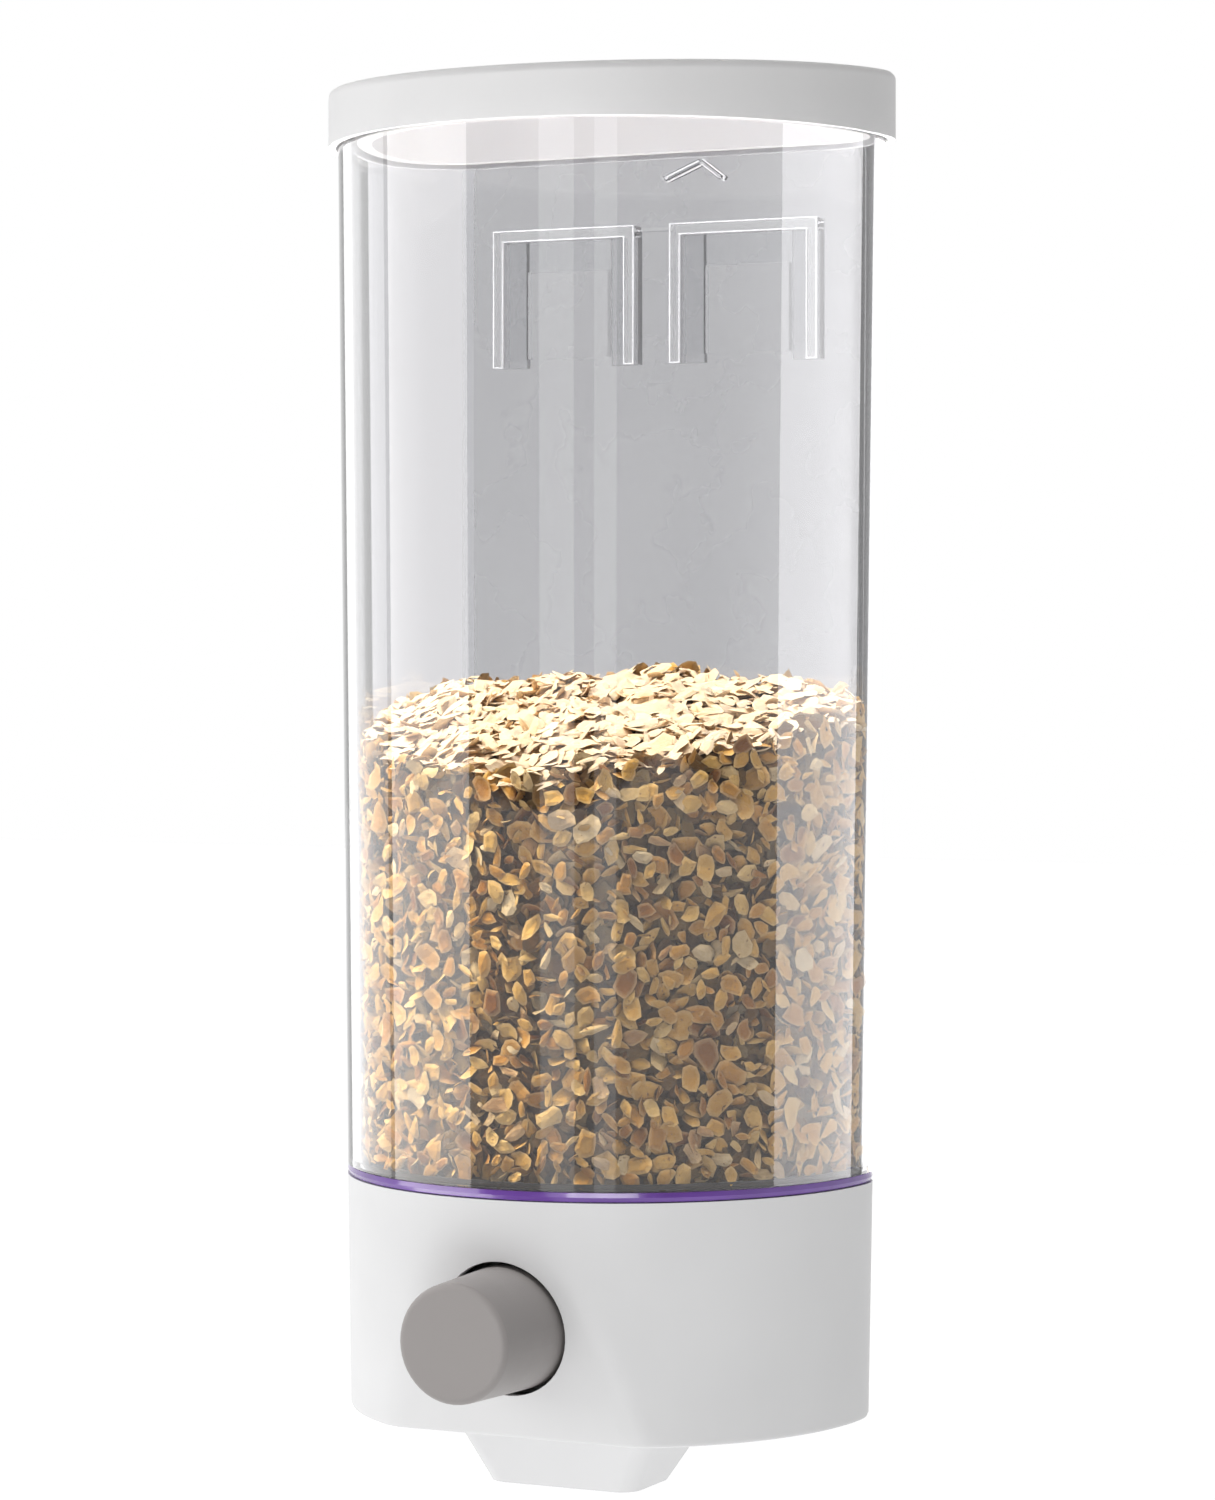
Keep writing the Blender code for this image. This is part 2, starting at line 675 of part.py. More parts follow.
def make_button(finish, slide):
    """A hollow cap, slightly conical, with a peg inside that centres the spring."""
    inner_y = BUTTON_FACE_Y + BUTTON_FACE_WALL
    profile = [(0.0, BUTTON_FACE_Y), (BUTTON_FACE_RADIUS - BUTTON_EDGE, BUTTON_FACE_Y)]
    for step in range(1, BUTTON_EDGE_STEPS):
        angle = math.radians(90 * step / BUTTON_EDGE_STEPS)
        profile.append((BUTTON_FACE_RADIUS - BUTTON_EDGE * (1 - math.sin(angle)),
                        BUTTON_FACE_Y + BUTTON_EDGE * (1 - math.cos(angle))))
    profile += [
        (BUTTON_FACE_RADIUS, BUTTON_FACE_Y + BUTTON_EDGE),
        (BUTTON_REAR_RADIUS, BUTTON_REAR_Y),
        (BUTTON_INNER_RADIUS, BUTTON_REAR_Y),
        (BUTTON_INNER_RADIUS - BUTTON_DRAFT, inner_y),
        (SPRING_PEG_RADIUS, inner_y),
        (SPRING_PEG_RADIUS, inner_y + BUTTON_PEG),
        (0.0, inner_y + BUTTON_PEG),
    ]
    centre = (0.0, 0.0, BUTTON_Z)
    made = lathe("button_cap", profile, centre, "Y", finish, slide)
    low = (-EAR_SLOT_HALF_X, EAR_FRONT - TOUCH, BUTTON_Z - EAR_HALF_HEIGHT - TOUCH)
    high = (EAR_SLOT_HALF_X, EAR_SLOT_REAR, BUTTON_Z + EAR_HALF_HEIGHT + TOUCH)
    shape_with(made, box("button_slot", low, high, finish, slide), "DIFFERENCE")
    return made


def make_spring_seat(finish, frame):
    back = THROAT_Y - THROAT_HALF_Y - THROAT_WALL - TOUCH
    disc = back - SEAT_DISC
    peg_end = disc - SEAT_PEG
    profile = [
        (0.0, back),
        (SPRING_SEAT_RADIUS, back),
        (SPRING_SEAT_RADIUS, disc),
        (SPRING_PEG_RADIUS, disc),
        (SPRING_PEG_RADIUS, peg_end + SEAT_PEG_TAPER),
        (SPRING_PEG_RADIUS * SEAT_PEG_TIP, peg_end),
        (0.0, peg_end),
    ]
    return lathe("spring_seat", profile, (0.0, 0.0, BUTTON_Z), "Y", finish, frame, SMALL_ROUND_STEPS)


def make_spring(finish, frame):
    """A round wire swept along a helix whose end turns lie closer together."""
    steps = SPRING_TURNS * SPRING_STEPS
    front = SPRING_FRONT_Y + SPRING_WIRE
    rear = SPRING_REAR_Y - SPRING_WIRE
    path = []
    for step in range(steps + 1):
        share = step / steps
        angle = math.tau * SPRING_TURNS * share
        even = share - SPRING_CLOSING * math.sin(math.tau * share)
        path.append(Vector((SPRING_RADIUS * math.cos(angle), front + (rear - front) * even,
                            BUTTON_Z + SPRING_RADIUS * math.sin(angle))))
    rings = []
    for step, point in enumerate(path):
        along = (path[min(step + 1, steps)] - path[max(step - 1, 0)]).normalized()
        outward = (point - Vector((0.0, point.y, BUTTON_Z))).normalized()
        outward = (outward - along * outward.dot(along)).normalized()
        across = along.cross(outward)
        ring = []
        for side in range(SPRING_SIDES):
            angle = math.tau * side / SPRING_SIDES
            ring.append(point + SPRING_WIRE * (outward * math.cos(angle) + across * math.sin(angle)))
        rings.append(ring)
    return link_mesh("return_spring", rings_to_shape(rings, closed=False), finish, frame)


def make_rails(finish, frame):
    groove_x = GATE_HALF_X + RUNNING
    foot = COVER_TOP + TOUCH
    section = [
        (RAIL_INNER_X, foot), (RAIL_OUTER_X, foot), (RAIL_OUTER_X, RAIL_TOP), (RAIL_INNER_X, RAIL_TOP),
        (RAIL_INNER_X, GATE_TOP + RUNNING), (groove_x, GATE_TOP + RUNNING),
        (groove_x, GATE_BOTTOM - RUNNING), (RAIL_INNER_X, GATE_BOTTOM - RUNNING),
    ]
    for side, name in ((-1, "rail_left"), (1, "rail_right")):
        rings = [[(side * x, y, z) for x, z in section] for y in (RAIL_FRONT_Y, RAIL_BACK_Y)]
        made = link_mesh(name, rings_to_shape(rings, closed=False), finish, frame)
        for number, (x, y) in enumerate(RAIL_SCREW_PLACES, 1):
            if x * side > 0:
                hole = rod(f"{name}_hole_{number}", (x, y, 0.0), "Z", SCREW_SHANK + TOUCH, 0.0, RAIL_HOLE_TOP,
                           finish, frame, SCREW_STEPS)
                shape_with(made, hole, "DIFFERENCE")


def make_cover(finish, frame):
    inset = BASE_WALL + TOUCH
    rings = [base_ring(COVER_BOTTOM, inset), base_ring(COVER_TOP, inset)]
    made = link_mesh("bottom_cover", rings_to_shape(rings, closed=False), finish, frame)
    opening = rounded_box(*COVER_OPENING, CHUTE_CORNER)
    shape_with(made, prism("cover_opening", opening, 0.0, COVER_TOP + CUT, finish, frame), "DIFFERENCE")
    for number, place in enumerate(BOSS_PLACES + RAIL_SCREW_PLACES, 1):
        hole = rod(f"cover_hole_{number}", (*place, 0.0), "Z", SCREW_SHANK + TOUCH, 0.0, COVER_TOP + CUT,
                   finish, frame, SCREW_STEPS)
        shape_with(made, hole, "DIFFERENCE")
    return made


def make_chute(finish, frame):
    """An open tube that hangs in the bottom cover by a flange and narrows below the rim."""
    flange_low = COVER_TOP + TOUCH
    flange_high = flange_low + CHUTE_FLANGE_THICKNESS

    def outside(height, section):
        return at_height(rounded_box(*section, CHUTE_CORNER), height)

    def inside(height, section):
        half_x, front_y, back_y = section
        inner = rounded_box(half_x - CHUTE_WALL, front_y + CHUTE_WALL, back_y - CHUTE_WALL,
                            CHUTE_CORNER - CHUTE_WALL)
        return at_height(inner, height)

    rings = [
        inside(CHUTE_TOP, CHUTE_MOUTH),
        outside(CHUTE_TOP, CHUTE_MOUTH),
        outside(flange_high, CHUTE_SHOULDER),
        outside(flange_high, CHUTE_FLANGE),
        outside(flange_low, CHUTE_FLANGE),
        outside(flange_low, CHUTE_NECK),
        outside(0.0, CHUTE_RIM),
        outside(CHUTE_BOTTOM, CHUTE_END),
        inside(CHUTE_BOTTOM, CHUTE_END),
        inside(0.0, CHUTE_RIM),
    ]
    return link_mesh("outlet_chute", rings_to_shape(rings, closed=True), finish, frame)


def lid_top(y, drop):
    """Height of the lid's sloping top at a depth, lowered by drop."""
    half_depth = DEPTH * CONTAINER_TOP_SCALE / 2 + LID_OVERHANG
    share = (y - MIDDLE_Y + half_depth) / (2 * half_depth)
    return LID_FRONT_TOP + (LID_BACK_TOP - LID_FRONT_TOP) * share - drop


def make_lid(finish, parent):
    """A cap with a filleted top edge, a thin skirt, and a grooved collar inside for the seal."""
    skirt = LID_SKIRT - LID_OVERHANG
    collar_outer = CONTAINER_WALL + TOUCH + LID_SEAL_WIDTH + TOUCH
    collar_inner = collar_outer + LID_COLLAR_WALL
    collar_rim = collar_outer - LID_COLLAR_REACH
    groove_low = LID_COLLAR_BOTTOM + LID_COLLAR_RIM

    def flat(height, inset):
        return at_height(d_outline(CONTAINER_TOP_SCALE, inset), height)

    def under_top(inset, drop):
        return [(x, y, lid_top(y, drop)) for x, y in d_outline(CONTAINER_TOP_SCALE, inset)]

    rings = [
        under_top(collar_inner, LID_ROOF),
        flat(LID_COLLAR_BOTTOM, collar_inner),
        flat(LID_COLLAR_BOTTOM, collar_rim),
        flat(groove_low, collar_rim),
        flat(groove_low, collar_outer),
        under_top(collar_outer, LID_ROOF),
        under_top(skirt, LID_ROOF),
        flat(LID_BOTTOM, skirt),
        flat(LID_BOTTOM, -LID_OVERHANG),
    ]
    for step in range(LID_FILLET_STEPS + 1):
        angle = math.radians(90 * step / LID_FILLET_STEPS)
        inwards = LID_FILLET * (1 - math.cos(angle)) - LID_OVERHANG
        rings.append(under_top(inwards, LID_FILLET * (1 - math.sin(angle))))
    return link_mesh("lid", rings_to_shape(rings, closed=False), finish, parent)


def make_lid_seal(finish, parent):
    """A soft ring that sits between the lid's collar and the container's mouth."""
    scale = CONTAINER_TOP_SCALE
    outer = CONTAINER_WALL + TOUCH
    inner = outer + LID_SEAL_WIDTH
    low = LID_COLLAR_BOTTOM + LID_COLLAR_RIM + TOUCH
    high = low + LID_SEAL_HEIGHT
    rings = [
        at_height(d_outline(scale, inner), low),
        at_height(d_outline(scale, outer + LID_SEAL_ROUNDING), low),
        at_height(d_outline(scale, outer), (low + high) / 2),
        at_height(d_outline(scale, outer + LID_SEAL_ROUNDING), high),
        at_height(d_outline(scale, inner), high),
    ]
    return link_mesh("lid_seal", rings_to_shape(rings, closed=True), finish, parent)


def make_screw(name, place, seat, end, finish, parent):
    """A pan-head screw along Z. Its head lies against seat, on the side away from end."""
    head_end = seat - SCREW_HEAD_HEIGHT if end > seat else seat + SCREW_HEAD_HEIGHT
    tip = end - SCREW_TIP if end > seat else end + SCREW_TIP
    profile = [
        (0.0, head_end),
        (SCREW_HEAD * SCREW_HEAD_TAPER, head_end),
        (SCREW_HEAD, (head_end + seat) / 2),
        (SCREW_HEAD, seat),
        (SCREW_SHANK, seat),
        (SCREW_SHANK, tip),
        (SCREW_SHANK * SCREW_TIP_TAPER, end),
        (0.0, end),
    ]
    return lathe(name, profile, (*place, 0.0), "Z", finish, parent, SCREW_STEPS)


def make_screws(finish, frame, slide):
    under_cover = COVER_BOTTOM - TOUCH
    for number, place in enumerate(BOSS_PLACES, 1):
        make_screw(f"cover_screw_{number}", place, under_cover, COVER_SCREW_END, finish, frame)
    for number, place in enumerate(RAIL_SCREW_PLACES, 1):
        make_screw(f"rail_screw_{number}", place, under_cover, RAIL_SCREW_END, finish, frame)
    for number, side in enumerate((-1, 1), 1):
        place = (side * YOKE_SCREW_X, YOKE_SCREW_Y)
        make_screw(f"yoke_screw_{number}", place, YOKE_FOOT_TOP + TOUCH, YOKE_SCREW_END, finish, slide)


def plate_outline(half_width, half_height, corner):
    """The plate's rounded outline in X and Z, about its own middle."""
    turned = rounded_box(half_width, -half_height, half_height, corner)
    return [(x, PLATE_MIDDLE + up) for x, up in turned]


def make_wall_plate(finish, frame):
    """A clear plate with two wide tongues, each on a narrower web."""
    outline = plate_outline(PLATE_HALF_WIDTH, PLATE_HALF_HEIGHT, PLATE_CORNER)
    back = PLATE_FRONT + PLATE_THICKNESS
    rings = [[(x, y, z) for x, z in outline] for y in (PLATE_FRONT, back)]
    made = link_mesh("wall_plate", rings_to_shape(rings, closed=False), finish, frame)
    slot_inner = RIB_INNER_X + RIB_WIDTH + LIP_WIDTH
    slot_outer = RIB_OUTER_X - RIB_WIDTH - LIP_WIDTH
    head_back = RIB_BACK - LIP_THICKNESS - RUNNING
    head_front = head_back - TONGUE_THICKNESS
    web = (slot_inner + WEB_FIT, slot_outer - WEB_FIT, head_front + TONGUE_THICKNESS / 2,
           PLATE_FRONT + WEB_ROOT, TONGUE_BOTTOM + SINK, WEB_TOP)
    head = (RIB_INNER_X + RIB_WIDTH + TONGUE_FIT, RIB_OUTER_X - RIB_WIDTH - TONGUE_FIT, head_front,
            head_back, TONGUE_BOTTOM, RIB_TOP - RIB_WIDTH - TOUCH)
    for side, name in ((-1, "left"), (1, "right")):
        for part, (near_x, far_x, front, rear, low_height, high_height) in (("web", web), ("head", head)):
            low = (min(side * near_x, side * far_x), front, low_height)
            high = (max(side * near_x, side * far_x), rear, high_height)
            shape_with(made, box(f"tongue_{name}_{part}", low, high, finish, frame), "UNION")
    return made


def make_adhesive_pad(finish, frame):
    outline = plate_outline(PLATE_HALF_WIDTH - PAD_MARGIN, PLATE_HALF_HEIGHT - PAD_MARGIN, PAD_CORNER)
    front = PLATE_FRONT + PLATE_THICKNESS + TOUCH
    rings = [[(x, y, z) for x, z in outline] for y in (front, front + PAD_THICKNESS)]
    return link_mesh("adhesive_pad", rings_to_shape(rings, closed=False), finish, frame)


def make_bumpers(finish, frame):
    """Rubber pads low on the base's back that reach the wall."""
    end = WALL_Y - TOUCH
    profile = [
        (0.0, BUMPER_START),
        (BUMPER_FOOT, BUMPER_START),
        (BUMPER_RADIUS, end - BUMPER_ROUNDING),
        (BUMPER_RADIUS - BUMPER_ROUNDING, end),
        (0.0, end),
    ]
    for side, name in ((-1, "wall_bumper_left"), (1, "wall_bumper_right")):
        lathe(name, profile, (side * BUMPER_X, 0.0, BUMPER_Z), "Y", finish, frame, SMALL_ROUND_STEPS)


def main():
    clear_scene()
    finishes = make_materials()
    place = (0.0, -WALL_Y, -PLATE_MIDDLE)
    wall_frame = empty("wall_frame", place)
    frame = empty("dispenser_frame", place)
    slide = empty("button_axis", (0.0, BUTTON_FACE_Y, BUTTON_Z), frame)
    lid_axis = empty("lid_axis", (0.0, MIDDLE_Y, LID_BOTTOM), frame)

    make_wall_plate(finishes["clear"], wall_frame)
    make_adhesive_pad(finishes["film"], wall_frame)
    make_container(finishes["clear"], frame)
    make_gasket(finishes["violet"], frame)
    make_base(finishes["white"], frame)
    make_hopper(finishes["inner"], frame)
    make_throat_seal(finishes["silicone"], frame)
    make_rails(finishes["inner"], frame)
    make_cover(finishes["white"], frame)
    make_chute(finishes["white"], frame)
    make_spring_seat(finishes["inner"], frame)
    make_spring(finishes["steel"], frame)
    make_bumpers(finishes["rubber"], frame)
    make_gate(finishes["inner"], slide)
    make_yoke(finishes["inner"], slide)
    make_button(finishes["grey"], slide)
    make_screws(finishes["steel"], frame, slide)
    make_lid(finishes["white"], lid_axis)
    make_lid_seal(finishes["silicone"], lid_axis)


main()
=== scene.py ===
"""The looks of a wall-mounted cereal dispenser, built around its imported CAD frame."""

import math

import bpy
import numpy as np
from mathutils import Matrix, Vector

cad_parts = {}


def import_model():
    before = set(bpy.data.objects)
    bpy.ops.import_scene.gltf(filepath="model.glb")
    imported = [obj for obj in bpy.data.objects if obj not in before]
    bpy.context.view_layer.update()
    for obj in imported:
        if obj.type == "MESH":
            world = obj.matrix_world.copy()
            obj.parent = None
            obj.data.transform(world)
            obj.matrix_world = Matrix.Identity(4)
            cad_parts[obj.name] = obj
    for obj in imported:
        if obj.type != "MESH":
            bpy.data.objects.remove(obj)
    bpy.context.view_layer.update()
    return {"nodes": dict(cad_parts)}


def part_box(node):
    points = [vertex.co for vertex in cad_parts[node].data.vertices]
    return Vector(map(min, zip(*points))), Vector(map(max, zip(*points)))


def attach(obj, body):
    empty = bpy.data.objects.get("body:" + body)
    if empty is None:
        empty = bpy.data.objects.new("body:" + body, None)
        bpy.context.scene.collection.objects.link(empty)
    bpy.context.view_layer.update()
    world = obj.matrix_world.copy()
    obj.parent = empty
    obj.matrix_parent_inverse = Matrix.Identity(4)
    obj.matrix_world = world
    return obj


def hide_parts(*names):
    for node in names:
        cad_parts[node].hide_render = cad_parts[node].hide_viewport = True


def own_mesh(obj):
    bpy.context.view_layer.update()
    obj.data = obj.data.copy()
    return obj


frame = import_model()
NODES = frame["nodes"]

WHITE = (1.0, 1.0, 1.0)

# The dispenser's own frame has its origin at the base rim, in the middle of the back plane.
LOCAL_ORIGIN = np.array((0.0, -0.0087, -0.1830))

# The container's D-shaped outline, which widens upwards
HALF_WIDTH = 0.050
DEPTH = 0.065
CORNER_RADIUS = 0.015
MIDDLE_Y = -DEPTH / 2
BASE_TOP = 0.0435
CONTAINER_TOP = 0.2420
BASE_TOP_SCALE = 1.014
CONTAINER_TOP_SCALE = 1.0605
CONTAINER_WALL = 0.0022
OUTLINE_COUNT = 1440

# Camera: its place in the dispenser's own frame, its angle in degrees, and lens and sensor in mm
CAMERA_PLACE = (0.3513, -0.7464, 0.1401)
CAMERA_AZIMUTH = 25.779
CAMERA_LENS = 103.3
CAMERA_SENSOR = 36.0
CAMERA_SHIFT_Y = -0.0617

# Painted highlights: bright lines along the hanging ribs and the catch ribs, in the dispenser's own frame
RIB_INNER_X = 0.0039
RIB_OUTER_X = 0.0343
RIB_BOTTOM = 0.1965
RIB_TOP = 0.2230
RIB_WIDTH = 0.0020
RIB_HIGHLIGHT_RADIUS = 0.00018
EDGE_DEPTH_SHARE = 0.4
CATCH_MARK = ((0.0034, 0.2315), (0.0108, 0.2345), (0.0152, 0.2312))
CATCH_HALF_THICKNESS = 0.0005

# Everything of the container behind this depth is ribs, in the row frame. Their sides get a painted reflection:
# white scattering plastic where clear rib sides would catch bright light.
RIB_REFLECTION_PAINT_SHARE = 0.30
RIBS_FROM_DEPTH = -0.0060
DEPTH_STEP = 0.0002

# The oats: local heights of the heap and the flakes' radius and spacing in metres, and tilts in radians.
# FLAKE_SWAY is how far a flake strays from its cell, as a share of the spacing, and the two pairs of
# sizes are shares of the radius.
OATS_BOTTOM = 0.0462
OATS_BACK_TOP = 0.1375
OATS_FRONT_TOP = 0.1180
FLAKE_RADIUS = 0.00197
FLAKE_THICKNESS = 0.00034
FLAKE_POINTS = 9
FLAKE_KINDS = 18
FLAKE_SPACING = 0.00255
TOP_FLAKE_SPACING = 0.0024
OUTER_TILT = 0.78
INNER_TILT = 0.55
INNER_DEPTH = 0.0017
TOP_TILT = 0.42
UNDER_TOP_TILT = 0.30
UNDER_TOP_DEPTH = 0.0013
FLAKE_SWAY = 0.45
WALL_FLAKE_SIZES = (0.62, 1.22)
TOP_FLAKE_SIZES = (0.66, 1.22)
LOWEST_FLAKE = 0.0012
FIRST_ROW = 0.0015
BELOW_HEAP = 0.0002
FLAKE_CLEARANCE = 0.0002
FLAKE_REACH_SHARE = 1.3
CORE_INSET = 0.0042
CORE_BELOW_TOP = 0.0022
RANDOM_SEED = 41

# The return spring's coil. SPRING_WIRE is the wire's radius.
SPRING_WIRE = 0.0004
SPRING_TURNS = 9
SPRING_STEPS = 40
SPRING_SIDES = 10

# The stage. Lamps face a point at AIM_HEIGHT in the middle of the container.
FLOOR_REACH = 30.0
FLOOR_HEIGHT = -1.60
AIM_HEIGHT = 0.12
STRIP_HEIGHT = 1.5
FLAG_SIZE = (0.16, 1.6)
FLAG_DISTANCE = 0.7
FLAG_ANGLE = 20

# Clear plastic, and the wall plate and its adhesive film, which bend what is behind them less
CLEAR_TINT = (0.985, 0.99, 0.995)
# painted shade: the near-black colour mixed into the container where its wall is seen edge on
CONTAINER_TINT = (0.79, 0.788, 0.803)
EDGE_PAINTED_SHADE = (0.05, 0.05, 0.055)
RIB_TINT = (0.97, 0.97, 0.975)
STYRENE_IOR = 1.49
PLATE_IOR = 1.25
PLATE_WAVE = 0.000008

# Moulded plastic
WHITE_PLASTIC = (0.80, 0.80, 0.805)
LID_GLOW = (1.0, 0.985, 0.97)
LID_GLOW_SHARE = 0.16

# The angle in degrees above which an edge of a CAD node stays sharp
SHARP_ANGLE = 32

# Blender's sockets of a colour Mix node
MIX_COLOUR_INPUTS = (0, 6, 7)
MIX_COLOUR_OUTPUT = 2


def link(obj):
    """Puts an object into the scene."""
    bpy.context.scene.collection.objects.link(obj)
    return obj


def world(point):
    """A point of the dispenser's own frame, in the row frame."""
    return tuple(float(v) for v in LOCAL_ORIGIN + np.array(point, float))


# ---------------------------------------------------------------- materials


def map_range(tree, source, before, after):
    """Carries an output from the range before over to the range after."""
    made = tree.nodes.new("ShaderNodeMapRange")
    for name, value in zip(("From Min", "From Max", "To Min", "To Max"), (*before, *after)):
        made.inputs[name].default_value = value
    tree.links.new(source, made.inputs["Value"])
    return made.outputs["Result"]


class Surface:
    """One procedural material: a Principled shader with helpers that add nodes to it."""

    def __init__(self, name):
        self.material = bpy.data.materials.new(name)
        self.material.use_nodes = True
        self.tree = self.material.node_tree
        self.shader = self.tree.nodes["Principled BSDF"]
        self.output = self.tree.nodes["Material Output"]
        self.place = self.node("ShaderNodeTexCoord").outputs["Object"]

    def node(self, kind, **settings):
        """A new node, with its settings."""
        made = self.tree.nodes.new(kind)
        for name, value in settings.items():
            setattr(made, name, value)
        return made

    def join(self, source, target):
        self.tree.links.new(source, target)

    def plain(self, **values):
        """Uniform values, set on the shader's own sockets."""
        for name, value in values.items():
            socket = name.replace("_", " ").title().replace("Ior", "IOR")
            self.shader.inputs[socket].default_value = value

    def noise(self, scale, detail=3.0, roughness=0.5, stretch=None):
        """Fractal noise. scale is in waves per metre."""
        place = self.place
        if stretch:
            mapping = self.node("ShaderNodeMapping")
            mapping.inputs["Scale"].default_value = stretch
            self.join(place, mapping.inputs["Vector"])
            place = mapping.outputs["Vector"]
        made = self.node("ShaderNodeTexNoise")
        made.inputs["Scale"].default_value = scale
        made.inputs["Detail"].default_value = detail
        made.inputs["Roughness"].default_value = roughness
        self.join(place, made.inputs["Vector"])
        return made.outputs["Fac"]

    def cells(self, scale):
        """The distance to the nearest of many scattered points."""
        made = self.node("ShaderNodeTexVoronoi")
        made.inputs["Scale"].default_value = scale
        self.join(self.place, made.inputs["Vector"])
        return made.outputs["Distance"]

    def ramp(self, source, stops):
        """Colours along a source, from (place, colour) stops."""
        made = self.node("ShaderNodeValToRGB")
        elements = made.color_ramp.elements
        while len(elements) < len(stops):
            elements.new(0.5)
        for element, (place, colour) in zip(elements, stops):
            element.position = place
            element.color = (*colour, 1.0)
        self.join(source, made.inputs["Fac"])
        return made.outputs["Color"]

    def between(self, source, low, high, start=0.25, end=0.75):
        """Carries a source from the range start to end over to low to high."""
        return map_range(self.tree, source, (start, end), (low, high))

    def feed(self, socket, value):
        """Sets a socket from a number, a colour or another node's output."""
        if isinstance(value, (int, float)):
            socket.default_value = value
        elif isinstance(value, tuple):
            socket.default_value = (*value, 1.0)
        else:
            self.join(value, socket)

    def mix(self, share, first, second, blend="MIX"):
        """One colour over another."""
        made = self.node("ShaderNodeMix", data_type="RGBA", blend_type=blend)
        for socket, value in zip(MIX_COLOUR_INPUTS, (share, first, second)):
            self.feed(made.inputs[socket], value)
        return made.outputs[MIX_COLOUR_OUTPUT]

    def maths(self, operation, *values):
        """A maths node over numbers or other nodes' outputs."""
        made = self.node("ShaderNodeMath", operation=operation)
        for socket, value in zip(made.inputs, values):
            self.feed(socket, value)
        return made.outputs[0]

    def mix_shaders(self, share, first, second):
        """The first shader where share is 0, and the second where it is 1."""
        made = self.node("ShaderNodeMixShader")
        for socket, value in zip(made.inputs, (share, first, second)):
            self.feed(socket, value)
        return made.outputs[0]

    def simple_shader(self, kind, colour):
        """A shader that has nothing but a colour."""
        made = self.node(kind)
        made.inputs["Color"].default_value = (*colour, 1.0)
        return made.outputs[0]

    def depth_axis(self, source):
        """The front-to-back part of a vector."""
        parts = self.node("ShaderNodeSeparateXYZ")
        self.join(source, parts.inputs[0])
        return parts.outputs["Y"]

    def bump(self, layers):
        """Stacks (height, depth in metres) layers into one normal."""
        normal = None
        for height, depth in layers:
            made = self.node("ShaderNodeBump")
            made.inputs["Distance"].default_value = depth
            made.inputs["Strength"].default_value = 1.0
            self.join(height, made.inputs["Height"])
            if normal:
                self.join(normal, made.inputs["Normal"])
            normal = made.outputs["Normal"]
        self.join(normal, self.shader.inputs["Normal"])

    def behind(self, depth):
        """1 behind a depth and 0 in front of it."""
        return self.between(self.depth_axis(self.place), 0.0, 1.0, depth, depth + DEPTH_STEP)

    def paint_rib_reflection(self, clear, behind):
        """Painted reflection: mixes white, scattering plastic over the side faces of ribs where behind is 1,
        where their clear sides would catch bright light.
        """
        normal = self.node("ShaderNodeNewGeometry").outputs["True Normal"]
        backward = self.maths("ABSOLUTE", self.depth_axis(normal))
        sideways = self.between(backward, 1.0, 0.0, 0.3, 0.7)
        amount = self.maths("MULTIPLY", self.maths("MULTIPLY", behind, sideways), RIB_REFLECTION_PAINT_SHARE)
        reflection_white = self.simple_shader("ShaderNodeBsdfDiffuse", WHITE)
        glow = self.simple_shader("ShaderNodeBsdfTranslucent", WHITE)
        return self.mix_shaders(amount, clear, self.mix_shaders(0.5, reflection_white, glow))

    def translucent(self, colour, share):
        """Lets light from the far side glow through thin plastic."""
        glow = self.simple_shader("ShaderNodeBsdfTranslucent", colour)
        self.finish(self.mix_shaders(share, self.shader.outputs[0], glow))

    def finish(self, shader):
        """Shows this shader on the surface."""
        self.join(shader, self.output.inputs["Surface"])

    def colour(self, source):
        self.join(source, self.shader.inputs["Base Color"])

    def rough(self, source):
        self.join(source, self.shader.inputs["Roughness"])


def shade(colour, share):
    """A colour darkened or brightened, no brighter than 1."""
    return tuple(min(1.0, part * share) for part in colour)


def moulded_plastic(name, colour, rough=(0.34, 0.44), grain=0.000012):
    """Injection-moulded plastic: a slightly uneven colour, fine grain and the faint waves of the mould."""
    made = Surface(name)
    cloud = made.noise(38, detail=4)
    made.colour(made.ramp(cloud, ((0.30, shade(colour, 0.970)), (0.70, shade(colour, 1.015)))))
    made.rough(made.between(made.noise(240, detail=5), *rough))
    made.bump(((made.noise(55, detail=1), 0.00003), (made.noise(2600, detail=2), grain)))
    made.plain(specular_ior_level=0.30)
    return made


